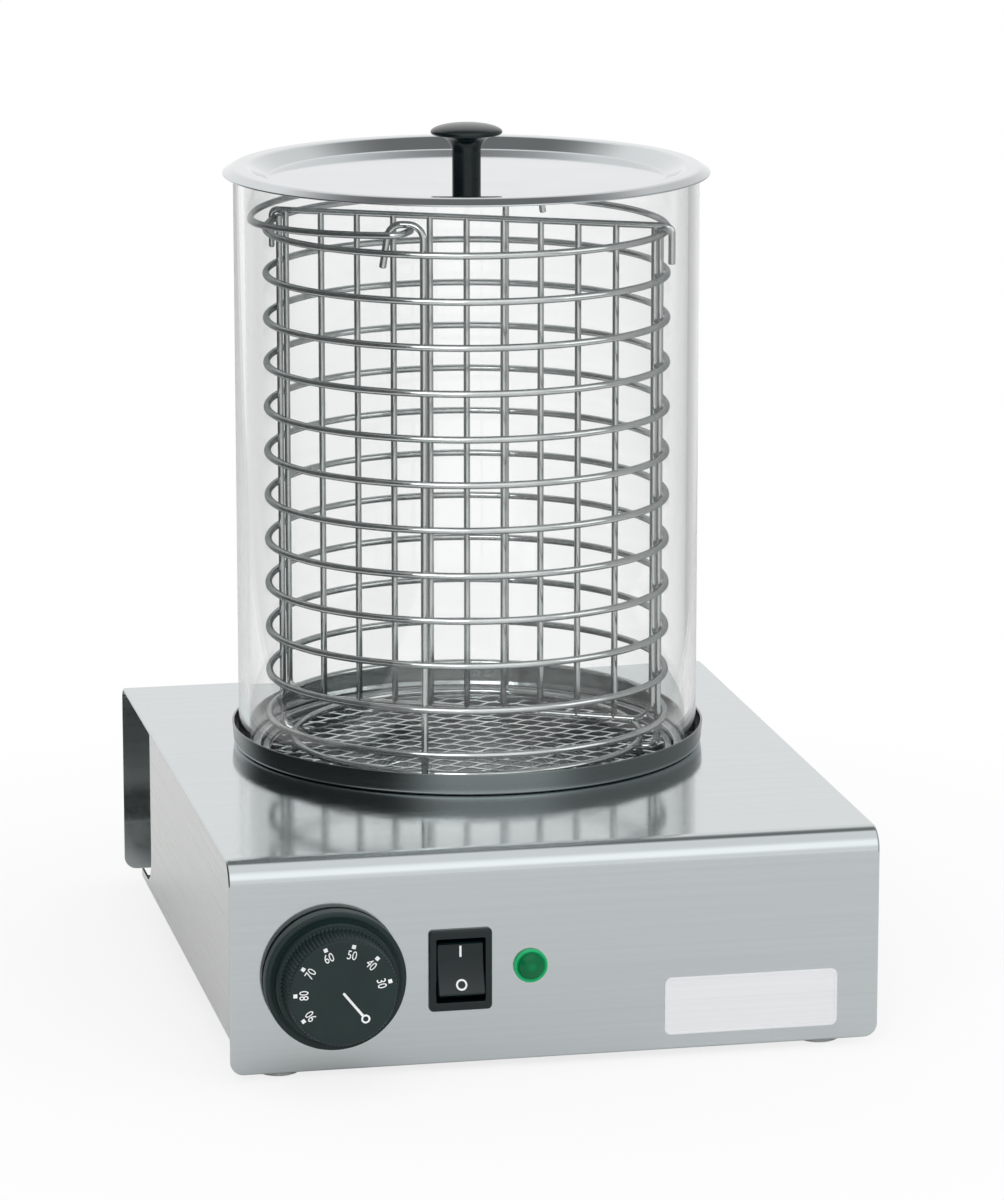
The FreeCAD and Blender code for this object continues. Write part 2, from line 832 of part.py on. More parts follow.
def make_mesh_plate():
    radius = float(d.dish_shelf_radius - d.mesh_edge_gap)
    open_radius = radius - float(d.mesh_border)
    long_pitch = float(d.mesh_long_pitch)
    short_pitch = float(d.mesh_short_pitch)
    # The strand's width is taken off a diamond square to its sides
    slope_length = math.hypot(long_pitch, short_pitch)
    half_long = long_pitch / 2 - float(d.mesh_strand) * slope_length / (2 * short_pitch)
    half_short = half_long * short_pitch / long_pitch
    rows = int(open_radius / (short_pitch / 2)) + 1
    columns = int(open_radius / long_pitch) + 1
    outlines = [Part.Wire(Part.makeCircle(radius))]
    for row in range(-rows, rows + 1):
        shift = long_pitch / 2 if row % 2 else 0
        for column in range(-columns, columns + 1):
            centre = Vector(column * long_pitch + shift, row * short_pitch / 2, 0)
            farthest = max(math.hypot(abs(centre.x) + half_long, centre.y),
                           math.hypot(centre.x, abs(centre.y) + half_short))
            if farthest < open_radius:
                outlines.append(diamond(centre, half_long, half_short))
    face = Part.Face(outlines, "Part::FaceMakerBullseye")
    plate_piece = doc.addObject("Part::Feature", "mesh_plate_form")
    plate_piece.Shape = face.extrude(UP * float(d.mesh_thickness))
    place(plate_piece, 0, dish_centre, mesh_bottom)
    hand_over(plate_piece, "mesh_plate")


make_mesh_plate()

# Glass cylinder

glass_outside = cylinder("glass_outside", d.glass_radius, d.glass_height, 0, dish_centre, glass_bottom)
glass_inside = cylinder("glass_inside", d.glass_radius - d.glass_wall, d.glass_height, 0, dish_centre,
                        glass_bottom)
hand_over(cut("glass", glass_outside, [glass_inside]), "glass_cylinder")

# Lid, its knob and the knob's screw

lid = turned_body("lid_form", [
    (screw_hole, flat_top - d.lid_sheet),
    (d.lid_flat_radius, flat_top - d.lid_sheet),
    (d.lid_crest_radius, crest_underside),
    (d.lid_shoulder_radius, crest_underside),
    (d.lid_radius, crest_underside - d.lid_edge_drop),
    (d.lid_radius, crest_top - d.lid_edge_drop),
    (d.lid_shoulder_radius, crest_top),
    (d.lid_crest_radius, crest_top),
    (d.lid_flat_radius, flat_top),
    (screw_hole, flat_top),
])
place(lid, 0, dish_centre, 0)
hand_over(lid, "lid")

knob_bore = d.screw_radius + d.running_fit
knob_bore_depth = d.knob_screw_length - d.lid_sheet + OVERSHOOT
knob_flare_top = d.knob_stem_height + d.knob_flare_height
knob_cap_edge = knob_flare_top + d.knob_cap_lift


def curve_corners(x_start, y_start, x_run, y_run, steps, steep_first):
    """Corners along a quarter of an ellipse that leaves its start steeply or flat."""
    corners = []
    for step in range(steps + 1):
        angle = math.radians(QUARTER_TURN * step / steps)
        flat, steep = 1 - math.cos(angle), math.sin(angle)
        x_part, y_part = (flat, steep) if steep_first else (steep, flat)
        corners.append((x_start + x_run * x_part, y_start + y_run * y_part))
    return corners


flare = curve_corners(d.knob_stem_radius, d.knob_stem_height, d.knob_flare_radius - d.knob_stem_radius,
                      d.knob_flare_height, CURVE_STEPS, steep_first=True)
dome = curve_corners(0, knob_cap_edge + d.knob_dome_rise, d.knob_cap_radius, -d.knob_dome_rise,
                     CURVE_STEPS, steep_first=False)
knob = turned_body("knob_form", [
    (0, knob_bore_depth),
    (knob_bore, knob_bore_depth),
    (knob_bore, 0),
    (d.knob_stem_radius, 0),
] + flare + dome[:0:-1] + [(0, knob_cap_edge + d.knob_dome_rise)])
place(knob, 0, dish_centre, flat_top)
hand_over(knob, "lid_knob")

hand_over(screw("knob_screw", 0, dish_centre, flat_top - d.lid_sheet, "up", d.knob_screw_length),
          "lid_knob_screw")


# Wire work: a wire is a polygon of several sides run along straight lines and arcs

def polygon_section(centre, normal, toward, radius):
    """Regular polygon with a round wire's area, square to a direction, with a flat toward another."""
    sides = int(d.wire_sides.value)
    corner_radius = radius * math.sqrt(2 * math.pi / (sides * math.sin(2 * math.pi / sides)))
    across = normal.cross(toward).normalize()
    toward = across.cross(normal).normalize()
    points = []
    for corner in range(sides):
        angle = math.radians(FULL_TURN * (corner + 0.5) / sides)
        reach = toward * math.cos(angle) + across * math.sin(angle)
        points.append(centre + reach * corner_radius)
    return Part.makePolygon(points + points[:1])


def bent_path(points, bends):
    """Wire through points whose inner corners are rounded to the bend radii."""
    edges = []
    start = points[0]
    for index, bend in enumerate(bends, start=1):
        corner = points[index]
        back = (points[index - 1] - corner).normalize()
        ahead = (points[index + 1] - corner).normalize()
        half_angle = back.getAngle(ahead) / 2
        tangent = bend / math.tan(half_angle)
        first = corner + back * tangent
        last = corner + ahead * tangent
        bisector = (back + ahead).normalize()
        centre = corner + bisector * (bend / math.sin(half_angle))
        middle = centre - bisector * bend
        if (first - start).Length > NEAR:
            edges.append(Part.LineSegment(start, first).toShape())
        edges.append(Part.Arc(first, middle, last).toShape())
        start = last
    edges.append(Part.LineSegment(start, points[-1]).toShape())
    return Part.Wire(edges)


def wire_along(path, toward, radius):
    """Solid wire along a path. toward is where one flat of the section faces at the path's start."""
    first_edge = path.Edges[0]
    start = first_edge.valueAt(first_edge.FirstParameter)
    normal = first_edge.tangentAt(first_edge.FirstParameter)
    section = polygon_section(start, normal, toward, radius)
    solid = path.makePipeShell([section], True, False)
    if solid.Volume < 0:
        solid.reverse()
    return solid


def wire_ring(ring_radius, height, radius):
    section = polygon_section(Vector(ring_radius, 0, height), Vector(0, 1, 0), UP, radius)
    return Part.Face(section).revolve(Vector(0, 0, 0), UP, FULL_TURN)


def polar(radius, angle, height):
    return Vector(radius * math.cos(math.radians(angle)), radius * math.sin(math.radians(angle)), height)


def join(solids):
    whole = solids[0].multiFuse(solids[1:])
    parts = whole.Solids
    if len(parts) != 1:
        raise RuntimeError(f"welded wires fall apart into {len(parts)} pieces")
    return parts[0]


# Basket: rings around four struts, with feet that turn inward and two arches for the bail

def make_basket():
    wire = float(d.wire_radius)
    radius = float(strut_radius)
    foot_z = float(foot_wire_height)
    solids = []
    for step in range(SIZES["ring_count"]):
        ring_z = float(first_ring_height) + step * float(d.ring_pitch)
        solids.append(wire_ring(float(d.ring_radius), ring_z, wire))
    solids.append(wire_ring(float(d.foot_ring_radius), float(foot_ring_height), wire))
    foot_end = float(d.foot_ring_radius - d.wire_radius - d.strut_foot_overhang)
    strut_top = float(top_ring_height + d.strut_top_overhang)
    arch_top = float(arch_height)
    for quarter in range(4):
        angle = float(d.strut_angle) + quarter * QUARTER_TURN
        outward = polar(1, angle, 0)
        # An arch runs clockwise seen from above
        sideways = polar(1, angle - QUARTER_TURN, 0)
        points = [outward * foot_end + UP * foot_z, outward * radius + UP * foot_z]
        bends = [float(d.strut_foot_bend)]
        if quarter % 2:
            points.append(outward * radius + UP * strut_top)
        else:
            across = float(d.arch_width)
            leg = across + float(d.arch_leg_spread)
            leg_end = arch_top - float(d.arch_leg_drop)
            points.append(outward * radius + UP * arch_top)
            points.append(outward * radius + sideways * across + UP * arch_top)
            points.append(outward * radius + sideways * leg + UP * leg_end)
            bends += [float(d.arch_bend), float(d.arch_bend)]
        solids.append(wire_along(bent_path(points, bends), UP, wire))
    basket = doc.addObject("Part::Feature", "basket_form")
    basket.Shape = join(solids)
    place(basket, 0, dish_centre, 0)
    hand_over(basket, "basket")


make_basket()


# Bail: a half ring whose ends turn inward through the arches

def make_bail():
    ring = float(bail_radius)
    bend = float(d.bail_bend)
    swing_axis = float(d.strut_angle) - math.degrees(math.atan2(float(d.arch_width) / 2, float(strut_radius)))
    centre_reach = math.sqrt((ring - bend) ** 2 - bend ** 2)
    turn = math.atan2(bend, centre_reach)
    pin_end = ring - float(d.bail_pin_length)
    # In the bail's own frame the pins lie on the X axis and the half ring on the side of +Y
    near_centre = Vector(centre_reach, bend, 0)
    near_touch = Vector(ring * math.cos(turn), ring * math.sin(turn), 0)
    near_foot = Vector(centre_reach, 0, 0)
    bisector = ((near_touch - near_centre) + (near_foot - near_centre)).normalize()
    near_middle = near_centre + bisector * bend

    def mirrored(point):
        return Vector(-point.x, point.y, point.z)

    path = Part.Wire([
        Part.LineSegment(Vector(pin_end, 0, 0), near_foot).toShape(),
        Part.Arc(near_foot, near_middle, near_touch).toShape(),
        Part.Arc(near_touch, Vector(0, ring, 0), mirrored(near_touch)).toShape(),
        Part.Arc(mirrored(near_touch), mirrored(near_middle), mirrored(near_foot)).toShape(),
        Part.LineSegment(mirrored(near_foot), Vector(-pin_end, 0, 0)).toShape(),
    ])
    bail = doc.addObject("Part::Feature", "bail_form")
    bail.Shape = wire_along(path, UP, float(d.wire_radius))
    place(bail, 0, dish_centre, bail_height)
    # The half ring lies to the left, from the front arch round to the back one, and sags a little
    placement = bail.Placement
    sag = FreeCAD.Rotation(Vector(1, 0, 0), -float(d.bail_sag))
    placement.Rotation = FreeCAD.Rotation(UP, swing_axis + HALF_TURN) * sag
    bail.Placement = placement
    hand_over(bail, "basket_bail")


make_bail()


# Divider: a frame of wire with upright bars, whose top bar hooks over the top ring

def make_divider():
    wire = float(d.divider_wire_radius)
    half = float(d.divider_half_length)
    bar_z = float(divider_bar_height)
    low_z = bar_z - float(d.divider_height)
    hook = float(divider_hook_radius)
    hook_end = bar_z - float(d.divider_hook_drop)
    hook_bend = float(d.divider_hook_bend)
    corner_bend = float(d.divider_corner_bend)
    side = Vector(0, 1, 0)
    top_bar = bent_path([
        Vector(-hook, 0, hook_end), Vector(-hook, 0, bar_z), Vector(hook, 0, bar_z), Vector(hook, 0, hook_end),
    ], [hook_bend, hook_bend])
    frame = bent_path([
        Vector(-half, 0, bar_z), Vector(-half, 0, low_z), Vector(half, 0, low_z), Vector(half, 0, bar_z),
    ], [corner_bend, corner_bend])
    solids = [wire_along(top_bar, side, wire), wire_along(frame, side, wire)]
    bars = SIZES["divider_bar_count"]
    for number in range(1, bars - 1):
        x = -half + 2 * half * number / (bars - 1)
        upright = Part.Wire([Part.LineSegment(Vector(x, 0, low_z), Vector(x, 0, bar_z)).toShape()])
        solids.append(wire_along(upright, side, wire))
    divider = doc.addObject("Part::Feature", "divider_form")
    divider.Shape = join(solids)
    place(divider, 0, dish_centre, 0)
    placement = divider.Placement
    placement.Rotation = FreeCAD.Rotation(UP, float(d.divider_angle))
    divider.Placement = placement
    hand_over(divider, "divider")


make_divider()

# Thermostat dial: a fluted grip on a wide skirt, with a recess for the bush's nut and a bore for the shaft

skirt_front = d.dial_gap + d.dial_skirt_thickness
recess_top = d.dial_gap + d.dial_recess_depth
bore_top = recess_top + d.dial_bore_depth
shaft_bore = d.shaft_radius + d.running_fit
dial = turned_body("dial_form", [
    (0, bore_top),
    (shaft_bore, bore_top),
    (shaft_bore, recess_top),
    (d.dial_recess_radius, recess_top),
    (d.dial_recess_radius, d.dial_gap),
    (d.dial_skirt_radius, d.dial_gap),
    (d.dial_skirt_radius, skirt_front),
    (d.dial_grip_radius, skirt_front),
    (d.dial_face_radius, d.dial_reach),
    (0, d.dial_reach),
])
flute_sketch = start_sketch(dial, "flute_outline", "XY_Plane", skirt_front)
flute_outside = d.dial_grip_radius + OVERSHOOT
draw_outline(flute_sketch, [
    (d.dial_flute_bottom, 0),
    (flute_outside, -d.dial_flute_width),
    (flute_outside, d.dial_flute_width),
])
flute = pocket(dial, "flute", flute_sketch, d.dial_reach, backwards=True)
flutes = dial.newObject("PartDesign::PolarPattern", "flutes")
flutes.Originals = [flute]
flutes.Axis = ([feature for feature in dial.Origin.OriginFeatures if feature.Role == "Z_Axis"][0], [""])
flutes.Angle = FULL_TURN
bind(flutes, "Occurrences", d.dial_flute_count)
dial.Tip = flutes
doc.recompute()
place(dial, dial_x, front_face, d.control_height, "front")
hand_over(dial, "thermostat_dial")

hand_over(cylinder("shaft", d.shaft_radius, d.cover_sheet + d.shaft_depth + bore_top - d.seat_gap,
                   dial_x, front_inside + d.shaft_depth, d.control_height, "front"),
          "thermostat_shaft")

# Thermostat body with its bush, capillary port and blades, and the nut that holds it to the front wall

thermostat_back = front_inside + d.thermostat_depth
thermostat_case = block("thermostat_case", dial_x - d.thermostat_width / 2, d.thermostat_width,
                        front_inside, d.thermostat_depth,
                        d.control_height - d.thermostat_height / 2, d.thermostat_height)
thermostat_bush = cylinder("thermostat_bush", d.bush_radius, d.shaft_depth + d.cover_sheet + d.bush_reach,
                           dial_x, front_inside + d.shaft_depth, d.control_height, "front")
port_height = d.control_height + d.thermostat_port_rise
thermostat_port = cylinder("thermostat_port", d.thermostat_port_radius, d.thermostat_port_length,
                           dial_x, thermostat_back, port_height, "back")
thermostat_blades = []
for name, sign in (("left", -1), ("right", 1)):
    blade_middle = dial_x + sign * d.thermostat_width / 4
    thermostat_blades.append(block(f"thermostat_blade_{name}", blade_middle - d.blade_width / 2, d.blade_width,
                                   thermostat_back, d.blade_length,
                                   d.control_height - d.thermostat_height / 4, d.blade_thickness))
thermostat_whole = fuse("thermostat_whole", [thermostat_case, thermostat_bush, thermostat_port]
                        + thermostat_blades)
thermostat_hole = cylinder("thermostat_shaft_hole", shaft_bore, 2 * d.thermostat_depth, dial_x,
                           front_inside + d.shaft_depth + d.running_fit, d.control_height, "front")
hand_over(cut("thermostat", thermostat_whole, [thermostat_hole]), "thermostat_body")
hand_over(nut("bush_nut", d.bush_nut_radius, d.bush_radius + d.running_fit, d.bush_nut_height, dial_x,
              front_face, d.control_height, "front"), "thermostat_nut")

# Feeler of the thermostat: bulb under the well's floor, two clips and the capillary

bulb_y = dish_centre - d.bulb_offset
bulb_z = well_underside - d.bulb_gap - d.bulb_radius
hand_over(cylinder("bulb", d.bulb_radius, d.bulb_length, -d.bulb_length / 2, bulb_y, bulb_z, "right"),
          "thermostat_bulb")

clip_inside = d.bulb_radius + d.bulb_gap
clip_outside = clip_inside + d.bulb_clip_sheet
clip_bodies = []
for name, sign in (("left", -1), ("right", 1)):
    clip = new_body(f"bulb_clip_{name}")
    clip_profile = start_sketch(clip, f"bulb_clip_{name}_profile", "YZ_Plane", sign * d.bulb_clip_spread)
    draw_outline(clip_profile, [
        (bulb_y - clip_outside, well_underside),
        (bulb_y - clip_outside, bulb_z - clip_outside),
        (bulb_y + clip_outside, bulb_z - clip_outside),
        (bulb_y + clip_outside, well_underside - d.bulb_clip_sheet),
        (bulb_y + clip_outside + d.bulb_clip_foot, well_underside - d.bulb_clip_sheet),
        (bulb_y + clip_outside + d.bulb_clip_foot, well_underside),
        (bulb_y + clip_inside, well_underside),
        (bulb_y + clip_inside, bulb_z - clip_inside),
        (bulb_y - clip_inside, bulb_z - clip_inside),
        (bulb_y - clip_inside, well_underside),
    ])
    pad(clip, f"bulb_clip_{name}_strip", clip_profile, d.bulb_clip_width, both_ways=True)
    clip_bodies.append(clip)
hand_over(group("bulb_clip_group", clip_bodies), "bulb_clips")


def make_capillary():
    start = Vector(-float(d.bulb_length) / 2, float(bulb_y), float(bulb_z))
    first = start - Vector(float(d.capillary_run), 0, 0)
    port = Vector(float(dial_x), float(thermostat_back + d.thermostat_port_length), float(port_height))
    second = port + Vector(0, float(d.capillary_drop_back), 0)
    bend = float(d.capillary_bend)
    path = bent_path([start, first, second, port], [bend, bend])
    capillary = doc.addObject("Part::Feature", "capillary_form")
    capillary.Shape = wire_along(path, UP, float(d.capillary_radius))
    hand_over(capillary, "thermostat_capillary")


make_capillary()

# Rocker switch: the housing is drawn flat, with its own Z axis out of the front wall

switch = new_body("switch_form")


def centred(width, height):
    return rectangle(-width / 2, -height / 2, width / 2, height / 2)


bezel_sketch = start_sketch(switch, "bezel_outline", "XY_Plane")
draw_outline(bezel_sketch, centred(d.bezel_width, d.bezel_height))
pad(switch, "bezel", bezel_sketch, d.bezel_thickness)
round_edges(switch, "bezel_corners", d.bezel_corner, along_z(d.bezel_width / 2, d.bezel_height / 2))
round_edges(switch, "bezel_lower_corners", d.bezel_corner, along_z(d.bezel_width / 2, -d.bezel_height / 2))
switch_back_sketch = start_sketch(switch, "switch_back_outline", "XY_Plane")
draw_outline(switch_back_sketch, centred(d.switch_body_width, d.switch_body_height))
pad(switch, "switch_back", switch_back_sketch, d.switch_body_depth, backwards=True)
blade_sketch = start_sketch(switch, "switch_blades", "XY_Plane", -d.switch_body_depth)
for sign in (-1, 1):
    for blade_y in (-d.switch_body_height / 4, d.switch_body_height / 4):
        blade_x = sign * d.switch_body_width / 4
        draw_outline(blade_sketch, rectangle(blade_x - d.blade_thickness / 2, blade_y - d.blade_width / 2,
                                             blade_x + d.blade_thickness / 2, blade_y + d.blade_width / 2))
pad(switch, "switch_blade_pads", blade_sketch, d.blade_length, backwards=True)
well_sketch = start_sketch(switch, "switch_well_outline", "XY_Plane", d.bezel_thickness)
draw_outline(well_sketch, centred(d.switch_well_width, d.switch_well_height))
pocket(switch, "switch_well", well_sketch, d.switch_well_depth + d.bezel_thickness)
pin_hole_sketch = start_sketch(switch, "pin_hole_outline", "YZ_Plane")
draw_circle(pin_hole_sketch, 0, -d.rocker_pivot_depth, d.rocker_pin_radius + d.running_fit)
pocket(switch, "pin_holes", pin_hole_sketch, d.switch_body_width + OVERSHOOT, both_ways=True)
place(switch, switch_x, front_face, d.control_height, "front")
hand_over(switch, "switch_housing")

# Rocker with a shallow hollow face, drawn level about its pins and then tilted to its rest, I pressed

rocker = new_body("rocker_form")
rocker_sketch = start_sketch(rocker, "rocker_outline", "YZ_Plane")
draw_outline(rocker_sketch, [
    (-d.rocker_half_height, d.rocker_end_reach),
    (-d.rocker_half_height, -d.rocker_back_end),
    (-d.rocker_back_half, -d.rocker_back_middle),
    (d.rocker_back_half, -d.rocker_back_middle),
    (d.rocker_half_height, -d.rocker_back_end),
    (d.rocker_half_height, d.rocker_end_reach),
    (0, d.rocker_middle_reach),
])
rocker_width = d.switch_well_width - 2 * d.rocker_side_gap
pad(rocker, "rocker_block", rocker_sketch, rocker_width, both_ways=True)
pin_sketch = start_sketch(rocker, "rocker_pin_outline", "YZ_Plane")
draw_circle(pin_sketch, 0, 0, d.rocker_pin_radius)
pad(rocker, "rocker_pins", pin_sketch, rocker_width + 2 * d.rocker_pin_length, both_ways=True)
place(rocker, switch_x, front_face + d.rocker_pivot_depth, d.control_height, "front")
bind(rocker, ".Placement.Rotation.Angle", QUARTER_TURN - d.rocker_tilt)
hand_over(rocker, "switch_rocker")

# Pilot lamp: lens, body and the nut behind the front wall

lens_top = d.lamp_flange_height + d.lamp_dome_rise
lens_dome = curve_corners(0, lens_top, d.lamp_dome_radius, -d.lamp_dome_rise, CURVE_STEPS, steep_first=False)
lens = turned_body("lens_form", [
    (0, 0),
    (d.lamp_flange_radius, 0),
    (d.lamp_flange_radius, d.lamp_flange_height),
] + lens_dome[:0:-1] + [(0, lens_top)])
place(lens, lamp_x, front_face, d.control_height, "front")
hand_over(lens, "pilot_lamp_lens")

lamp_tube = cylinder("lamp_tube", d.lamp_body_radius, d.lamp_body_length, lamp_x, front_face,
                     d.control_height, "back")
lamp_end = front_face + d.lamp_body_length
lamp_blades = [
    block(f"lamp_blade_{name}", lamp_x - d.blade_width / 2, d.blade_width, lamp_end, d.blade_length,
          d.control_height + sign * d.lamp_body_radius / 2 - d.blade_thickness / 2, d.blade_thickness)
    for name, sign in (("lower", -1), ("upper", 1))
]
hand_over(fuse("lamp_whole", [lamp_tube] + lamp_blades), "pilot_lamp_body")

hand_over(nut("lamp_hexagon_nut", d.lamp_nut_radius, d.lamp_body_radius + d.running_fit, d.lamp_nut_height,
              lamp_x, front_inside, d.control_height, "back"), "pilot_lamp_nut")


# Heating element: an open ring of flattened tube under the well's floor, with two legs down

def make_heating_element():
    half = float(d.heater_section) / 2
    radius = float(d.heater_radius)
    top = float(well_underside)
    bottom = top - 2 * half
    section = [
        Vector(radius - half, 0, top), Vector(radius + half, 0, top),
        Vector(radius + half, 0, bottom), Vector(radius - half, 0, bottom),
    ]
    face = Part.Face(Part.makePolygon(section + section[:1]))
    gap = float(d.heater_gap_angle)
    leg_radius = half / 2
    ring = face.revolve(Vector(0, 0, 0), UP, FULL_TURN - gap)
    ring.rotate(Vector(0, 0, 0), UP, gap / 2 - QUARTER_TURN)
    solids = [ring]
    leg_swing = gap / 2 + math.degrees(half / radius)
    for sign in (-1, 1):
        foot = polar(radius, sign * leg_swing - QUARTER_TURN, top - half)
        length = half + float(d.heater_leg_length)
        solids.append(Part.makeCylinder(leg_radius, length, foot, Vector(0, 0, -1)))
    element = doc.addObject("Part::Feature", "element_form")
    element.Shape = join(solids)
    place(element, 0, dish_centre, 0)
    hand_over(element, "heating_element")


make_heating_element()

element_bottom = well_underside - d.heater_section
clamp_bottom = element_bottom - d.clamp_plate_sheet
clamp_disc = cylinder("clamp_disc", d.clamp_plate_radius, d.clamp_plate_sheet, 0, dish_centre, clamp_bottom)
clamp_hole = cylinder("clamp_hole", d.dish_stud_radius + d.screw_clearance, d.clamp_plate_sheet, 0, dish_centre,
                      clamp_bottom)
# A notch at the front lets the element's legs pass
clamp_notch = block("clamp_notch", -d.clamp_notch_width / 2, d.clamp_notch_width,
                    dish_centre - d.clamp_plate_radius - OVERSHOOT, d.clamp_notch_depth + OVERSHOOT,
                    clamp_bottom, d.clamp_plate_sheet)
hand_over(cut("clamp_plate", clamp_disc, [clamp_hole, clamp_notch]), "heater_clamp_plate")
hand_over(nut("clamp_nut", d.heater_nut_radius, d.dish_stud_radius + d.running_fit, d.heater_nut_height, 0,
              dish_centre, clamp_bottom, "down"), "heater_nut")

# Safety limiter under the clamp plate

limiter_can = cylinder("limiter_can", d.limiter_radius, d.limiter_height, d.limiter_offset, dish_centre,
                       clamp_bottom, "down")
limiter_blades = [
    block(f"limiter_blade_{name}", d.limiter_offset + sign * d.limiter_radius / 2 - d.blade_thickness / 2,
          d.blade_thickness, dish_centre - d.blade_width / 2, d.blade_width,
          clamp_bottom - d.limiter_height - d.blade_length, d.blade_length)
    for name, sign in (("left", -1), ("right", 1))
]
hand_over(fuse("limiter", [limiter_can] + limiter_blades), "safety_limiter")

# Cable gland in the rear wall, its locknut, the terminal block and the earth stud

gland = turned_body("gland_form", [
    (d.gland_bore_radius, -d.gland_thread_length),
    (d.gland_thread_radius, -d.gland_thread_length),
    (d.gland_thread_radius, 0),
    (d.gland_flange_radius, 0),
    (d.gland_flange_radius, d.gland_flange_height),
    (d.gland_nut_radius, d.gland_flange_height),
    (d.gland_nut_radius, d.gland_reach - d.gland_mouth_height),
    (d.gland_mouth_radius, d.gland_reach),
    (d.gland_bore_radius, d.gland_reach),
])
place(gland, gland_x, rear_face, d.gland_height, "back")
hand_over(gland, "cable_gland")
hand_over(nut("gland_nut", d.locknut_radius, d.gland_thread_radius + d.running_fit, d.locknut_height,
              gland_x, rear_inside, d.gland_height, "front"), "gland_locknut")

terminal_front = rear_face - d.terminal_setback
terminal_case = block("terminal_case", gland_x - d.terminal_width / 2, d.terminal_width, terminal_front,
                      d.terminal_depth, d.side_lift, d.terminal_height)
terminal_holes = []
for number in range(SIZES["terminal_hole_count"]):
    hole_x = gland_x + (number - (SIZES["terminal_hole_count"] - 1) / 2) * d.terminal_hole_pitch
    terminal_holes.append(cylinder(f"terminal_hole_{number}", d.terminal_hole_radius, d.terminal_depth, hole_x,
                                   terminal_front, d.side_lift + d.terminal_height / 3, "back"))
hand_over(cut("terminals", terminal_case, terminal_holes), "terminal_block")

earth_y = terminal_front + d.terminal_depth / 2
hand_over(cylinder("earth_post", d.earth_stud_radius, d.earth_stud_length, earth_x, earth_y, d.side_lift),
          "earth_stud")
hand_over(nut("earth_hexagon_nut", d.earth_nut_radius, d.earth_stud_radius + d.running_fit, d.earth_nut_height,
              earth_x, earth_y, d.side_lift), "earth_nut")

# Check every object, then write each piece to its own file

doc.recompute()
for thing in doc.Objects:
    if "Invalid" in thing.State or "Error" in thing.State:
        raise RuntimeError(f"{thing.Name} is in error: {thing.State}")
os.makedirs("parts", exist_ok=True)
for piece in nodes:
    shape = piece.Shape
    if shape.isNull() or not shape.isValid() or not shape.Solids:
        raise RuntimeError(f"{piece.Label} has no valid solid")
    shape.exportStep(f"parts/{piece.Label}.step")
print(f"{len(nodes)} pieces written")
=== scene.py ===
import json
import math

import bmesh
import bpy
from mathutils import Matrix, Vector


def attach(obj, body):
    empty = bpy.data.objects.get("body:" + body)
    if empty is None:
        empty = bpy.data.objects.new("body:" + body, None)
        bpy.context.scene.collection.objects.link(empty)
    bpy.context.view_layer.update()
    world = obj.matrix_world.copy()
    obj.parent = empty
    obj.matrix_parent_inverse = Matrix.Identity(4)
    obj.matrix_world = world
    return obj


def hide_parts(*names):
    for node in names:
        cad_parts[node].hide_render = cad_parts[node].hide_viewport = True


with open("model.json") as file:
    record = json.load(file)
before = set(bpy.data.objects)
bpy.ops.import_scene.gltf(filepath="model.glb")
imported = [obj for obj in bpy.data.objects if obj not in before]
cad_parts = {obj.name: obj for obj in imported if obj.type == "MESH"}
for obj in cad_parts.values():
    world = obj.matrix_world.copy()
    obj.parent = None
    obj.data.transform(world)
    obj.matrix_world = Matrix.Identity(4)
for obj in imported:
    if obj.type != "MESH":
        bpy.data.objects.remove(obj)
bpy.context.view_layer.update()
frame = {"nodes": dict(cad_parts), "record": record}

# Lengths are in millimetres and angles in degrees until a mesh is made.
# Frame: +X to the right, +Y to the back, +Z up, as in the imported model.

MM = 0.001
UP = Vector((0, 0, 1))
RIGHT = Vector((1, 0, 0))
NEARLY_UPRIGHT = 0.9
ROUND_SEGMENTS = 160
ARC_STEPS = 6
WIRE_SIDES = 12
SHARP_ANGLE = math.radians(32)
MERGE_DISTANCE = 1e-6
SHORTEST_EDGE = 1e-7

# Width and distance of each step in a wire's domed end, as shares of the wire's radius.
WIRE_END_STEPS = ((0.55, 0.3), (0.85, 0.18))

FRONT = -162.5
AXIS_Y = 35
AXIS = (0, AXIS_Y)
CONTROL_Z = 44.8
DIAL_X = -98
SWITCH_X = -42.9
LAMP_X = -12.2


# Meshes

class Shape:
    """Points and faces of one piece."""

    def __init__(self):
        self.points = []
        self.faces = []

    def add(self, points, faces):
        start = len(self.points)
        self.points += [Vector(point) for point in points]
        self.faces += [[start + index for index in face] for face in faces]

    def join(self, other):
        self.add(other.points, other.faces)
        return self

    def moved(self, matrix):
        self.points = [matrix @ point for point in self.points]
        return self


def at(x, y, z):
    return Matrix.Translation((x, y, z))


def turned(angle, axis):
    return Matrix.Rotation(math.radians(angle), 4, axis)


def facing_front(x, y, z):
    """Puts a shape drawn about Z onto the front wall, with its Z axis towards the viewer."""
    return at(x, y, z) @ turned(90, "X")


def polar(radius, angle, height=0.0):
    turn = math.radians(angle)
    return Vector((radius * math.cos(turn), radius * math.sin(turn), height))


def loft(loops, closed=False):
    """Skin through loops of equal length, in order. An open skin has a face at each end."""
    shape = Shape()
    count = len(loops[0])
    faces = []
    pairs = list(zip(range(len(loops)), range(1, len(loops))))
    if closed:
        pairs.append((len(loops) - 1, 0))
    for one, other in pairs:
        for index in range(count):
            after = (index + 1) % count
            faces.append([one * count + index, one * count + after,
                          other * count + after, other * count + index])
    if not closed:
        last = (len(loops) - 1) * count
        faces.append(list(range(count))[::-1])
        faces.append([last + index for index in range(count)])
    shape.add([point for loop in loops for point in loop], faces)
    return shape


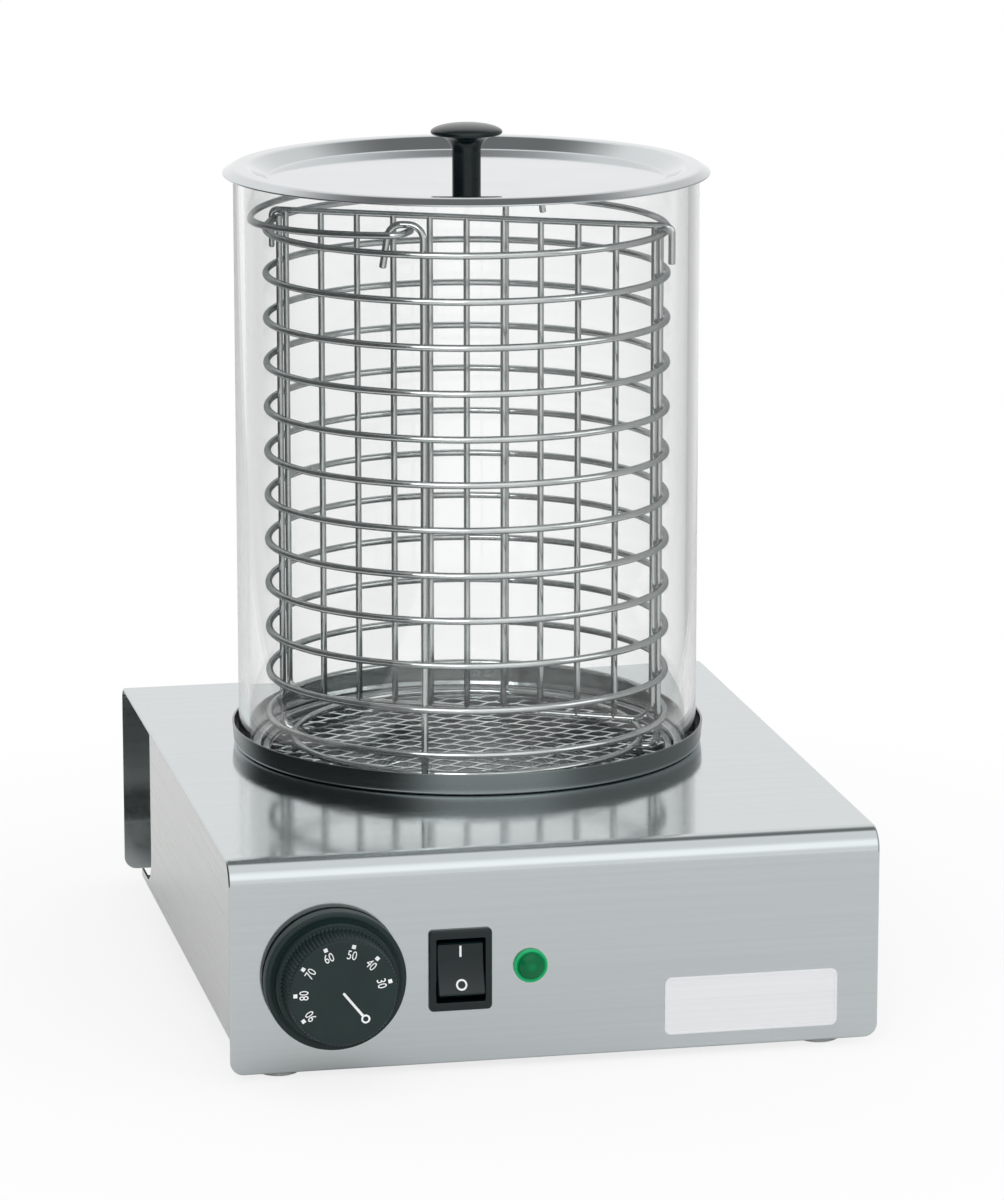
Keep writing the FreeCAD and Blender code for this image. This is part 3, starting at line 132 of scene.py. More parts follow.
def rounded(corners, bends, closed=False):
    """Path through corners, each rounded to its bend radius. A bend of 0 stays sharp."""
    corners = [Vector(corner) for corner in corners]
    count = len(corners)
    path = []
    for index, (corner, bend) in enumerate(zip(corners, bends)):
        is_end = not closed and index in (0, count - 1)
        if is_end or bend == 0:
            path.append(corner)
            continue
        back = (corners[index - 1] - corner).normalized()
        ahead = (corners[(index + 1) % count] - corner).normalized()
        half_angle = back.angle(ahead) / 2
        tangent = bend / math.tan(half_angle)
        bisector = (back + ahead).normalized()
        centre = corner + bisector * (bend / math.sin(half_angle))
        first = corner + back * tangent - centre
        last = corner + ahead * tangent - centre
        whole = first.angle(last)
        for step in range(ARC_STEPS + 1):
            share = step / ARC_STEPS
            spot = first * math.sin((1 - share) * whole) + last * math.sin(share * whole)
            path.append(centre + spot / math.sin(whole))
    return path


def outline(corners):
    """Closed outline of (radius, height, bend) corners."""
    points = [(radius, 0, height) for radius, height, bend in corners]
    bends = [bend for radius, height, bend in corners]
    return [(point.x, point.z) for point in rounded(points, bends, closed=True)]


def lathe(profile, segments=ROUND_SEGMENTS, centre=(0, 0)):
    """Turns a closed outline of radius and height about a vertical axis."""
    loops = []
    for step in range(segments):
        angle = 360 * step / segments
        loops.append([polar(radius, angle, height) for radius, height in profile])
    shape = loft(loops, closed=True)
    return shape.moved(at(centre[0], centre[1], 0))


def circle_path(radius, height):
    return [polar(radius, 360 * step / ROUND_SEGMENTS, height) for step in range(ROUND_SEGMENTS)]


def tube(path, radius, closed=False):
    """Round wire along a path. Open ends are slightly domed."""
    count = len(path)
    turns = [2 * math.pi * step / WIRE_SIDES for step in range(WIRE_SIDES)]
    loops = []
    side = None
    for index, point in enumerate(path):
        before = path[index - 1] if closed or index > 0 else point
        after = path[(index + 1) % count] if closed or index < count - 1 else point
        direction = (after - before).normalized()
        if side is None:
            side = direction.cross(RIGHT if abs(direction.z) >= NEARLY_UPRIGHT else UP)
        side = (side - direction * side.dot(direction)).normalized()
        other = direction.cross(side)

        def ring(width, shift):
            middle = point + direction * shift * radius
            reach = radius * width
            return [middle + (side * math.cos(turn) + other * math.sin(turn)) * reach for turn in turns]

        if not closed and index == 0:
            loops += [ring(width, -shift) for width, shift in WIRE_END_STEPS]
        loops.append(ring(1, 0))
        if not closed and index == count - 1:
            loops += [ring(width, shift) for width, shift in reversed(WIRE_END_STEPS)]
    return loft(loops, closed=closed)


def rectangle(half_width, half_height):
    return [(half_width, -half_height), (half_width, half_height),
            (-half_width, half_height), (-half_width, -half_height)]


def rounded_rectangle(size, trim, radius, level):
    """Loop at a level, with both sides of a size changed by a trim."""
    width, height = size
    corners = [(x, y, level) for x, y in rectangle((width + trim) / 2, (height + trim) / 2)]
    return rounded(corners, [radius] * len(corners), closed=True)


def make_piece(name, shape, look, body, stands_for=()):
    """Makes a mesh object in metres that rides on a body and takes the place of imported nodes."""
    mesh = bpy.data.meshes.new(name)
    mesh.from_pydata([point * MM for point in shape.points], [], shape.faces)
    work = bmesh.new()
    work.from_mesh(mesh)
    bmesh.ops.remove_doubles(work, verts=work.verts, dist=MERGE_DISTANCE)
    bmesh.ops.dissolve_degenerate(work, edges=work.edges, dist=SHORTEST_EDGE)
    bmesh.ops.recalc_face_normals(work, faces=work.faces)
    work.to_mesh(mesh)
    work.free()
    mesh.shade_smooth()
    mesh.set_sharp_from_angle(angle=SHARP_ANGLE)
    mesh.materials.append(look)
    piece = bpy.data.objects.new(name, mesh)
    bpy.context.scene.collection.objects.link(piece)
    normals = piece.modifiers.new("normals", "WEIGHTED_NORMAL")
    normals.keep_sharp = True
    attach(piece, body)
    if stands_for:
        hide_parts(*stands_for)
    return piece


# Sizes that a material and a piece share

LENS_RADIUS = 7.4
RISER_RADIUS = 96
RIM_FOOT = 107.6


# Materials

NOISE_LOW = 0.3
NOISE_HIGH = 0.7
FINE_RELIEF = 0.00003
MOULD_RELIEF = 0.00006
# Inset from the dish's riser where its painted reflection starts, and the width over which that painted
# reflection fades in.
REFLECTION_INSET = 1.5
REFLECTION_BLEND = 1
RIM_BLEND = 0.1
DISH_REACH = 110
ALONG_X = (0.004, 1, 1)
ALONG_Y = (1, 0.004, 1)
WHITE = (1, 1, 1, 1)


class Nodes:
    """Adds nodes to one tree and links them."""

    def __init__(self, tree):
        self.tree = tree

    def add(self, kind, **settings):
        node = self.tree.nodes.new(kind)
        for key, value in settings.items():
            setattr(node, key, value)
        return node

    def link(self, source, target):
        self.tree.links.new(source, target)

    def spread(self, source, low, high, start=NOISE_LOW, end=NOISE_HIGH, kind="LINEAR"):
        """Maps a source that goes from start to end onto values from low to high."""
        ranged = self.add("ShaderNodeMapRange", interpolation_type=kind)
        ranged.inputs["From Min"].default_value = start
        ranged.inputs["From Max"].default_value = end
        ranged.inputs["To Min"].default_value = low
        ranged.inputs["To Max"].default_value = high
        self.link(source, ranged.inputs["Value"])
        return ranged.outputs["Result"]

    def combine(self, operation, first, second):
        node = self.add("ShaderNodeMath", operation=operation)
        self.link(first, node.inputs[0])
        self.link(second, node.inputs[1])
        return node.outputs["Value"]

    def mix(self, share, first, second, target):
        """Blends two shaders into a target."""
        node = self.add("ShaderNodeMixShader")
        self.link(share, node.inputs["Fac"])
        self.link(first, node.inputs[1])
        self.link(second, node.inputs[2])
        self.link(node.outputs["Shader"], target)

    def seen_straight(self):
        """1 where the camera looks straight at a surface, or at it through clear glass alone."""
        path = self.add("ShaderNodeLightPath")
        unmirrored = self.spread(path.outputs["Glossy Depth"], 1, 0, 0, 1)
        through = self.combine("MULTIPLY", path.outputs["Is Transmission Ray"], unmirrored)
        return self.combine("MAXIMUM", path.outputs["Is Camera Ray"], through)


class Look(Nodes):
    """A node material around one shader."""

    def __init__(self, name, color, metallic, roughness):
        self.material = bpy.data.materials.new(name)
        self.material.use_nodes = True
        super().__init__(self.material.node_tree)
        self.shader = self.tree.nodes["Principled BSDF"]
        self.output = self.tree.nodes["Material Output"]
        self.set("Base Color", (*color, 1))
        self.set("Metallic", metallic)
        self.set("Roughness", roughness)
        self.place = self.add("ShaderNodeTexCoord").outputs["Object"]

    def set(self, socket, value):
        self.shader.inputs[socket].default_value = value

    def noise(self, scale, detail=3, stretch=(1, 1, 1), roughness=0.5):
        """Noise in object space. stretch below 1 draws it out along an axis."""
        mapping = self.add("ShaderNodeMapping")
        mapping.inputs["Scale"].default_value = stretch
        self.link(self.place, mapping.inputs["Vector"])
        noise = self.add("ShaderNodeTexNoise")
        noise.inputs["Scale"].default_value = scale
        noise.inputs["Detail"].default_value = detail
        noise.inputs["Roughness"].default_value = roughness
        self.link(mapping.outputs["Vector"], noise.inputs["Vector"])
        return noise.outputs["Fac"]

    def distance_from(self, point, across):
        """Distance in metres from an axis through a point. across is 0 along the axis and 1 across it."""
        mapping = self.add("ShaderNodeMapping")
        mapping.inputs["Location"].default_value = -Vector(point) * MM
        mapping.inputs["Scale"].default_value = across
        self.link(self.place, mapping.inputs["Vector"])
        length = self.add("ShaderNodeVectorMath", operation="LENGTH")
        self.link(mapping.outputs["Vector"], length.inputs[0])
        return length.outputs["Value"]

    def distance_from_basket_axis(self):
        return self.distance_from((0, AXIS_Y, 0), across=(1, 1, 0))

    def spun_lines(self, scale=900):
        """Noise that changes only with the distance from the basket's upright axis."""
        noise = self.add("ShaderNodeTexNoise", noise_dimensions="1D")
        noise.inputs["Scale"].default_value = scale
        noise.inputs["Detail"].default_value = 4
        self.link(self.distance_from_basket_axis(), noise.inputs["W"])
        return noise.outputs["Fac"]

    def vary_roughness(self, source, low, high):
        self.link(self.spread(source, low, high), self.shader.inputs["Roughness"])

    def color_steps(self, source, steps):
        """Base colour through (position, colour) steps, for a source from 0 to 1."""
        ramp = self.add("ShaderNodeValToRGB")
        ends = (steps[0], steps[-1])
        for element, (position, color) in zip(ramp.color_ramp.elements, ends):
            element.position = position
            element.color = (*color, 1)
        for position, color in steps[1:-1]:
            element = ramp.color_ramp.elements.new(position)
            element.color = (*color, 1)
        self.link(source, ramp.inputs["Fac"])
        self.link(ramp.outputs["Color"], self.shader.inputs["Base Color"])

    def color_by_distance(self, distance, reach, steps):
        """Base colour through (distance, colour) steps in millimetres, up to a reach."""
        share = self.spread(distance, 0, 1, 0, reach * MM)
        self.color_steps(share, [(step / reach, color) for step, color in steps])

    def vary_color(self, source, dark, light):
        self.color_steps(source, [(NOISE_LOW, dark), (NOISE_HIGH, light)])

    def bump(self, source, strength, distance=FINE_RELIEF):
        bump = self.add("ShaderNodeBump")
        bump.inputs["Strength"].default_value = strength
        bump.inputs["Distance"].default_value = distance
        self.link(source, bump.inputs["Height"])
        self.link(bump.outputs["Normal"], self.shader.inputs["Normal"])


def shade(color, factor):
    return tuple(channel * factor for channel in color)


def brushed_steel(name, color, grain, roughness, metallic=1.0):
    """Sheet with fine lines along one axis. grain is the stretch of the line noise."""
    look = Look(name, color, metallic, roughness)
    lines = look.noise(scale=1100, detail=4, stretch=grain, roughness=0.6)
    look.vary_roughness(lines, roughness - 0.04, roughness + 0.05)
    streaks = look.noise(scale=620, detail=5, stretch=grain, roughness=0.7)
    look.vary_color(streaks, shade(color, 0.965), shade(color, 1.03))
    look.bump(lines, strength=0.12)
    return look.material


def spun_steel(name, color, roughness):
    """Sheet with fine rings from spinning and polishing."""
    look = Look(name, color, 1.0, roughness)
    rings = look.spun_lines()
    look.vary_roughness(rings, roughness * 0.6, roughness * 1.5)
    look.vary_color(look.noise(scale=22), shade(color, 0.95), shade(color, 1.03))
    look.bump(rings, strength=0.05)
    return look.material


def dish_metal_painted_light(name, shade_color, bright, roughness):
    """Spun sheet with painted light: a dark painted shade in its well and outside its rim, and a light
    painted reflection on its ledge and inside its rim.
    """
    look = Look(name, shade_color, 1.0, roughness)
    look.vary_roughness(look.spun_lines(), roughness * 0.6, roughness * 1.5)
    reflection_start = RISER_RADIUS - REFLECTION_INSET
    # Colour by distance is painted light: dark painted shade in the well and outside the rim, light painted
    # reflection on the ledge and inside the rim.
    look.color_by_distance(look.distance_from_basket_axis(), DISH_REACH, [
        (reflection_start, shade_color),
        (reflection_start + REFLECTION_BLEND, bright),
        (RIM_FOOT - RIM_BLEND, bright),
        (RIM_FOOT, shade_color),
    ])
    return look.material


def plain_metal(name, color, roughness, scale=260):
    """Metal of small parts, with a fine grain and broad clouds."""
    look = Look(name, color, 1.0, roughness)
    look.vary_roughness(look.noise(scale, detail=4), roughness - 0.07, roughness + 0.09)
    look.vary_color(look.noise(scale / 8), shade(color, 0.88), shade(color, 1.06))
    look.bump(look.noise(scale * 6, detail=2), strength=0.05)
    return look.material


def drawn_wire(name, color, roughness, edge):
    """Polished wire whose reflection darkens towards its edges."""
    look = Look(name, color, 1.0, roughness)
    look.set("Specular Tint", (*edge, 1))
    look.vary_roughness(look.noise(scale=70), roughness - 0.05, roughness + 0.05)
    look.vary_color(look.noise(scale=24), shade(color, 0.93), shade(color, 1.05))
    return look.material


def moulded(name, color, roughness, grain, strength, shine=0.5):
    """Moulded plastic with a fine grain."""
    look = Look(name, color, 0.0, roughness)
    look.set("Specular IOR Level", shine)
    fine = look.noise(grain, detail=2)
    look.vary_roughness(fine, roughness - 0.05, roughness + 0.07)
    look.vary_color(look.noise(scale=40), shade(color, 0.86), shade(color, 1.16))
    look.bump(fine, strength, MOULD_RELIEF)
    return look.material


def milky_rubber(name):
    look = Look(name, (0.8, 0.82, 0.81), 0.0, 0.35)
    look.set("Transmission Weight", 0.45)
    look.set("IOR", 1.4)
    cloud = look.noise(scale=160)
    look.vary_color(cloud, (0.74, 0.76, 0.75), (0.85, 0.87, 0.86))
    look.vary_roughness(cloud, 0.28, 0.45)
    return look.material


def clear_glass(name):
    """Clear glass that lets the studio's light through to what stands inside it."""
    look = Look(name, (0.985, 0.995, 0.99), 0.0, 0.0)
    look.set("Transmission Weight", 1.0)
    look.set("IOR", 1.46)
    look.vary_color(look.noise(scale=18), (0.975, 0.985, 0.98), (0.995, 1, 0.998))
    path = look.add("ShaderNodeLightPath")
    passing = look.combine("MAXIMUM", path.outputs["Is Shadow Ray"], path.outputs["Is Diffuse Ray"])
    open_air = look.add("ShaderNodeBsdfTransparent")
    open_air.inputs["Color"].default_value = (0.95, 0.96, 0.955, 1)
    look.mix(passing, look.shader.outputs["BSDF"], open_air.outputs["BSDF"], look.output.inputs["Surface"])
    tint = look.add("ShaderNodeVolumeAbsorption")
    tint.inputs["Color"].default_value = (0.6, 0.64, 0.63, 1)
    tint.inputs["Density"].default_value = 5
    look.link(tint.outputs["Volume"], look.output.inputs["Volume"])
    return look.material


def tinted_lens(name):
    """Green lens of the lamp, deep green in its dome, with a painted highlight around its rim and a small
    painted highlight in its middle.
    """
    look = Look(name, (0.0, 0.16, 0.05), 0.0, 0.1)
    look.set("Specular IOR Level", 0.2)
    from_middle = look.distance_from((LAMP_X, 0, CONTROL_Z), across=(1, 0, 1))
    # Painted highlights: a light green ring near the rim and a lighter middle, around a darker dome.
    look.color_by_distance(from_middle, LENS_RADIUS, [
        (0, (0.001, 0.2, 0.06)),
        (LENS_RADIUS * 0.35, (0.0005, 0.13, 0.04)),
        (LENS_RADIUS * 0.74, (0.0005, 0.14, 0.045)),
        (LENS_RADIUS * 0.9, (0.012, 0.42, 0.15)),
    ])
    look.vary_roughness(look.noise(scale=420, detail=2), 0.06, 0.16)
    return look.material


looks = {
    "steel_cover": brushed_steel("steel_cover", (0.575, 0.613, 0.62), ALONG_X, roughness=0.11),
    "steel_panel": brushed_steel("steel_panel", (0.73, 0.74, 0.73), ALONG_Y, roughness=0.24),
    "steel_bright": spun_steel("steel_bright", (0.62, 0.64, 0.645), roughness=0.13),
    "steel_mesh": drawn_wire("steel_mesh", (0.84, 0.87, 0.87), roughness=0.14, edge=(0.4, 0.42, 0.42)),
    "wire": drawn_wire("wire", (0.6, 0.625, 0.62), roughness=0.12, edge=(0.35, 0.37, 0.37)),
    "zinc": plain_metal("zinc", (0.6, 0.61, 0.62), roughness=0.36),
    "copper": plain_metal("copper", (0.72, 0.42, 0.28), roughness=0.3),
    "brass": plain_metal("brass", (0.75, 0.6, 0.3), roughness=0.3),
    "heater": plain_metal("heater", (0.36, 0.34, 0.31), roughness=0.45),
    "rubber": milky_rubber("rubber"),
    "black_matte": moulded("black_matte", (0.008, 0.021, 0.02), roughness=0.4, grain=2600, strength=0.1,
                           shine=0.35),
    "black_gloss": moulded("black_gloss", (0.003, 0.009, 0.01), roughness=0.2, grain=1800, strength=0.03,
                           shine=0.4),
    "white_plastic": moulded("white_plastic", (0.8, 0.79, 0.75), roughness=0.42, grain=1200, strength=0.06),
    "green_lens": tinted_lens("green_lens"),
    "glass": clear_glass("glass"),
}
mark_white = moulded("mark_white", (0.82, 0.84, 0.84), roughness=0.45, grain=1500, strength=0.04)
# The dish's dark colour is painted shade and its light colour is painted reflection.
dish_steel_painted_light = dish_metal_painted_light("dish_steel_painted_light", shade_color=(0.2, 0.22, 0.22), bright=(0.5, 0.53, 0.53), roughness=0.2)
lid_steel = spun_steel("lid_steel", (0.62, 0.65, 0.66), roughness=0.06)
plate_metal = brushed_steel("plate_metal", (0.8, 0.805, 0.82), ALONG_X, roughness=0.36, metallic=0.25)

for subpart in frame["record"]["subparts"]:
    node = frame["nodes"][subpart["node"]]
    node.data.materials.clear()
    node.data.materials.append(looks[subpart["material_slot"]])


# Basket: rings on four struts, two of which turn over at the top into arches

WIRE = 1.6
RING_RADIUS = 91
RING_LOW = 111.2
RING_PITCH = 20.4
RING_COUNT = 12
FOOT_RING_RADIUS = 80
FOOT_RING_Z = 99.7
FOOT_WIRE_Z = 97.1
STRUT_COUNT = 4
STRUT_RADIUS = 88.4
STRUT_ANGLE = -113.5
STRUT_TOP = 337.2
FOOT_INNER = 75.4
FOOT_BEND = 5
ARCH_TOP = 348.5
ARCH_WIDTH = 15
ARCH_BEND = 6.5
ARCH_LEG_END = 329.5
ARCH_LEG_SPREAD = 3
on_axis = at(0, AXIS_Y, 0)

basket = Shape()
for number in range(RING_COUNT):
    basket.join(tube(circle_path(RING_RADIUS, RING_LOW + number * RING_PITCH), WIRE, closed=True))
basket.join(tube(circle_path(FOOT_RING_RADIUS, FOOT_RING_Z), WIRE, closed=True))
for number in range(STRUT_COUNT):
    angle = STRUT_ANGLE + 360 * number / STRUT_COUNT
    outward = polar(1, angle)
    sideways = polar(1, angle - 90)
    upright = outward * STRUT_RADIUS
    corners = [outward * FOOT_INNER + UP * FOOT_WIRE_Z, upright + UP * FOOT_WIRE_Z]
    bends = [0, FOOT_BEND]
    has_arch = number % 2 == 0
    if has_arch:
        corners.append(upright + UP * ARCH_TOP)
        corners.append(upright + sideways * ARCH_WIDTH + UP * ARCH_TOP)
        corners.append(upright + sideways * (ARCH_WIDTH + ARCH_LEG_SPREAD) + UP * ARCH_LEG_END)
        bends += [ARCH_BEND, ARCH_BEND, 0]
    else:
        corners.append(upright + UP * STRUT_TOP)
        bends.append(0)
    basket.join(tube(rounded(corners, bends), WIRE))
make_piece("basket_wires", basket.moved(on_axis), looks["wire"], "basket", ["basket"])


# Bail: half a ring whose ends turn in through the arches

BAIL_RADIUS = 97.9
BAIL_BEND = 4
BAIL_PIN = 15
BAIL_Z = 345
BAIL_SAG = -2.5
BAIL_TURN = 61.651
BAIL_HALF_STEPS = 45
bend_x = math.sqrt((BAIL_RADIUS - BAIL_BEND) ** 2 - BAIL_BEND ** 2)
bend_middle = Vector((bend_x, BAIL_BEND, 0))
ring_start = math.degrees(math.atan2(BAIL_BEND, bend_x))
half_path = [Vector((BAIL_RADIUS - BAIL_PIN, 0, 0))]
for step in range(ARC_STEPS + 1):
    half_path.append(bend_middle + polar(BAIL_BEND, -90 + (90 + ring_start) * step / ARC_STEPS))
for step in range(1, BAIL_HALF_STEPS + 1):
    half_path.append(polar(BAIL_RADIUS, ring_start + (90 - ring_start) * step / BAIL_HALF_STEPS))
other_half = [Vector((-point.x, point.y, point.z)) for point in half_path[-2::-1]]
bail_place = at(0, AXIS_Y, BAIL_Z) @ turned(BAIL_TURN, "Z") @ turned(BAIL_SAG, "X")
bail = tube(half_path + other_half, WIRE).moved(bail_place)
make_piece("bail_wire", bail, looks["wire"], "bail", ["basket_bail"])


# Divider: a hooked top wire, a bent frame under it and upright bars

DIVIDER_WIRE = 1.5
DIVIDER_TURN = -27.5
DIVIDER_HALF = 87
DIVIDER_TOP = 339
DIVIDER_LOW = 111
DIVIDER_SPACES = 10
DIVIDER_BEND = 9
HOOK_RADIUS = 94.4
HOOK_END = 322
HOOK_BEND = 3


def bracket(half_width, ends, middle, bend):
    """Wire with two upright legs whose ends stand at one height and whose bar runs at another."""
    corners = [(-half_width, 0, ends), (-half_width, 0, middle),
               (half_width, 0, middle), (half_width, 0, ends)]
    return tube(rounded(corners, [0, bend, bend, 0]), DIVIDER_WIRE)


divider = bracket(HOOK_RADIUS, HOOK_END, DIVIDER_TOP, HOOK_BEND)
divider.join(bracket(DIVIDER_HALF, DIVIDER_TOP, DIVIDER_LOW, DIVIDER_BEND))
for number in range(1, DIVIDER_SPACES):
    x = -DIVIDER_HALF + 2 * DIVIDER_HALF * number / DIVIDER_SPACES
    divider.join(tube([Vector((x, 0, DIVIDER_LOW)), Vector((x, 0, DIVIDER_TOP))], DIVIDER_WIRE))
divider.moved(on_axis @ turned(DIVIDER_TURN, "Z"))
make_piece("divider_wires", divider, looks["wire"], "divider", ["divider"])


# Mesh plate of expanded sheet: tilted zigzag strands that meet at their knuckles, inside a flat border

MESH_LOW = 94.0
MESH_THICKNESS = 1.2
MESH_RADIUS = 94.4
MESH_BORDER = 3
MESH_EDGE = 0.2
MESH_LONG = 18
MESH_SHORT = 11
STRAND_WIDTH = 1.25
STRAND_THICKNESS = 0.45
STRAND_TILT = 6
STRAND_OVERLAP = 0.5
KNUCKLE_SHARE = 0.12


def ring_outline(inner, outer, low, high, edge):
    return outline([(inner, low, edge), (outer, low, edge), (outer, high, edge), (inner, high, edge)])


def strand(path):
    """Flat ribbon along X, tilted about its own run."""
    tilt = math.radians(STRAND_TILT)
    across = Vector((0, math.cos(tilt), math.sin(tilt))) * STRAND_WIDTH / 2
    through = Vector((0, -math.sin(tilt), math.cos(tilt))) * STRAND_THICKNESS / 2
    return loft([[point + across + through, point - across + through, point - across - through,
                  point + across - through] for point in path])


mesh_inner = MESH_RADIUS - MESH_BORDER
mesh_middle = MESH_LOW + MESH_THICKNESS / 2
strand_reach = mesh_inner + STRAND_OVERLAP
strand_rows = int(strand_reach / (MESH_SHORT / 2))
strand_columns = int(strand_reach / (MESH_LONG / 2)) + 1
mesh_plate = lathe(ring_outline(mesh_inner, MESH_RADIUS, MESH_LOW, MESH_LOW + MESH_THICKNESS, MESH_EDGE))
for row in range(-strand_rows, strand_rows + 1):
    path = []
    for column in range(-strand_columns, strand_columns + 1):
        sway = MESH_SHORT / 4 if (row + column) % 2 == 0 else -MESH_SHORT / 4
        for share in (-KNUCKLE_SHARE, KNUCKLE_SHARE):
            path.append(Vector(((column + share) * MESH_LONG / 2, row * MESH_SHORT / 2 + sway, mesh_middle)))
    inside = [point for point in path if math.hypot(point.x, point.y) < strand_reach]
    if len(inside) > 1:
        mesh_plate.join(strand(inside))
mesh_plate.moved(on_axis)
make_piece("mesh_sheet", mesh_plate, looks["steel_mesh"], "mesh", ["mesh_plate"])


# Water dish: a well, a seat for the mesh plate, a ledge for the glass and an upright rim

DISH_SHEET = 1
DISH_LOW = 82
WELL_RADIUS = 91.5
SEAT_LOW = 92.7
LEDGE_LOW = 96.5
RIM_REACH = 108.5
RIM_TOP = 106.5
RIM_EDGE = 0.45
dish_outside = [
    (WELL_RADIUS, DISH_LOW, 2), (WELL_RADIUS, SEAT_LOW, 0.8), (RISER_RADIUS, SEAT_LOW, 1),
    (RISER_RADIUS, LEDGE_LOW, 0.8), (RIM_FOOT, LEDGE_LOW, 2.4),
]
dish_inner_bends = [1.5, 1, 0.6, 1, 1.6]
dish_inside = [(radius - DISH_SHEET, height + DISH_SHEET, bend)
               for (radius, height, _), bend in zip(dish_outside, dish_inner_bends)]
dish_corners = [
    (0, DISH_LOW, 0), *dish_outside, (RIM_REACH, RIM_TOP, RIM_EDGE),
    (RIM_REACH - DISH_SHEET, RIM_TOP, RIM_EDGE), *reversed(dish_inside), (0, DISH_LOW + DISH_SHEET, 0),
]
dish = lathe(outline(dish_corners), centre=AXIS)
make_piece("dish_pressing", dish, dish_steel_painted_light, "base", ["water_dish"])


# Glass tube

GLASS_INNER = 100.4
GLASS_OUTER = 105.4
GLASS_LOW = 97.8
GLASS_TOP = 361.8
GLASS_EDGE = 1.6
glass = lathe(ring_outline(GLASS_INNER, GLASS_OUTER, GLASS_LOW, GLASS_TOP, GLASS_EDGE), centre=AXIS)
make_piece("glass_tube", glass, looks["glass"], "glass", ["glass_cylinder"])


# Lid: a dished sheet with a rounded rim, and its knob

LID_SHEET = 0.8
LID_LOW = 356.8
LID_HOLE = 2.2
LID_FLAT = 90
LID_SHOULDER = 99
LID_CROWN = 105.8
LID_CROWN_LOW = 362.1
LID_REACH = 110.2
LID_LIP_LOW = 359.4
LID_LIP_HIGH = 360.3
LID_LIP_EDGE = 0.3
lid_corners = [
    (LID_HOLE, LID_LOW, 0), (LID_FLAT, LID_LOW, 3),
    (LID_SHOULDER, LID_CROWN_LOW, 3), (LID_CROWN, LID_CROWN_LOW, 4),
    (LID_REACH, LID_LIP_LOW, LID_LIP_EDGE), (LID_REACH, LID_LIP_HIGH, LID_LIP_EDGE),
    (LID_CROWN, LID_CROWN_LOW + LID_SHEET, 5), (LID_SHOULDER, LID_CROWN_LOW + LID_SHEET, 5),
    (LID_FLAT, LID_LOW + LID_SHEET, 3), (LID_HOLE, LID_LOW + LID_SHEET, 0),
]
lid = lathe(outline(lid_corners), centre=AXIS)
make_piece("lid_pressing", lid, lid_steel, "lid", ["lid"])

KNOB_BASE = LID_LOW + LID_SHEET
KNOB_BORE = 2.05
KNOB_BORE_DEPTH = 12.2
KNOB_STEM = 6.5
KNOB_FLARE_LOW = 11
KNOB_FLARE_WIDTH = 8.2
KNOB_FLARE_HEIGHT = 8
KNOB_LIP = [(15.7, 19.3), (16.2, 19.9)]
KNOB_CAP = 16.3
KNOB_CAP_EDGE = 20.2
KNOB_CAP_DOME = 4
KNOB_STEPS = 16
KNOB_SEGMENTS = 96
quarter_turn = [math.radians(90 * step / KNOB_STEPS) for step in range(KNOB_STEPS + 1)]
knob_outline = [(0, KNOB_BORE_DEPTH), (KNOB_BORE, KNOB_BORE_DEPTH), (KNOB_BORE, 0), (KNOB_STEM, 0)]
knob_outline += [(KNOB_STEM + KNOB_FLARE_WIDTH * (1 - math.cos(turn)),
                  KNOB_FLARE_LOW + KNOB_FLARE_HEIGHT * math.sin(turn)) for turn in quarter_turn]
knob_outline += KNOB_LIP
knob_outline += [(KNOB_CAP * math.cos(turn), KNOB_CAP_EDGE + KNOB_CAP_DOME * math.sin(turn))
                 for turn in quarter_turn]
knob = lathe(knob_outline, KNOB_SEGMENTS, AXIS).moved(at(0, 0, KNOB_BASE))
make_piece("knob_moulding", knob, looks["black_gloss"], "lid", ["lid_knob"])


# Rubber feet, hollow for their studs at the top and with a ring to stand on

FOOT_X = 119.5
FOOT_FRONT_Y = -147.5
FOOT_REAR_Y = 102.5
FOOT_HEIGHT = 15
FOOT_TOP_RADIUS = 10
FOOT_LOW_RADIUS = 9.6
FOOT_STAND_RADIUS = 7.2
FOOT_DIP_RADIUS = 6.6
FOOT_DIP = 0.6
FOOT_STUD = 2.05
FOOT_STUD_LOW = 6
foot_corners = [
    (0, FOOT_DIP, 0), (FOOT_DIP_RADIUS, FOOT_DIP, 0.3), (FOOT_STAND_RADIUS, 0, 0.3),
    (FOOT_LOW_RADIUS, 0, 1.4), (FOOT_TOP_RADIUS, FOOT_HEIGHT, 0.7),
    (FOOT_STUD, FOOT_HEIGHT, 0), (FOOT_STUD, FOOT_STUD_LOW, 0), (0, FOOT_STUD_LOW, 0),
]
for row_name, foot_y in (("front", FOOT_FRONT_Y), ("rear", FOOT_REAR_Y)):
    for side_name, foot_x in (("left", -FOOT_X), ("right", FOOT_X)):
        foot = lathe(outline(foot_corners), centre=(foot_x, foot_y))
        make_piece(f"rubber_foot_{row_name}_{side_name}", foot, looks["rubber"], "base",
                   [f"foot_{row_name}_{side_name}"])


# Thermostat dial: knurled grip on a skirt

DIAL_BORE = 3.05
DIAL_BORE_END = 20
DIAL_HUB_BACK = 6
DIAL_RECESS = 14
DIAL_BACK = 1
SKIRT_RADIUS = 30.5
SKIRT_TOP = 8
GROOVE_OUTER = 27.7
GROOVE_INNER = 26.9
GROOVE_Z = 7.7
COLLAR_RADIUS = 26.6
COLLAR_TOP = 11.6
GRIP_LOW_RADIUS = 24.5
GRIP_LOW = 12
GRIP_HIGH_RADIUS = 23.5
DIAL_FACE = 25
KNURL_COUNT = 84
KNURL_STEPS = 6
KNURL_DEPTH = 0.55

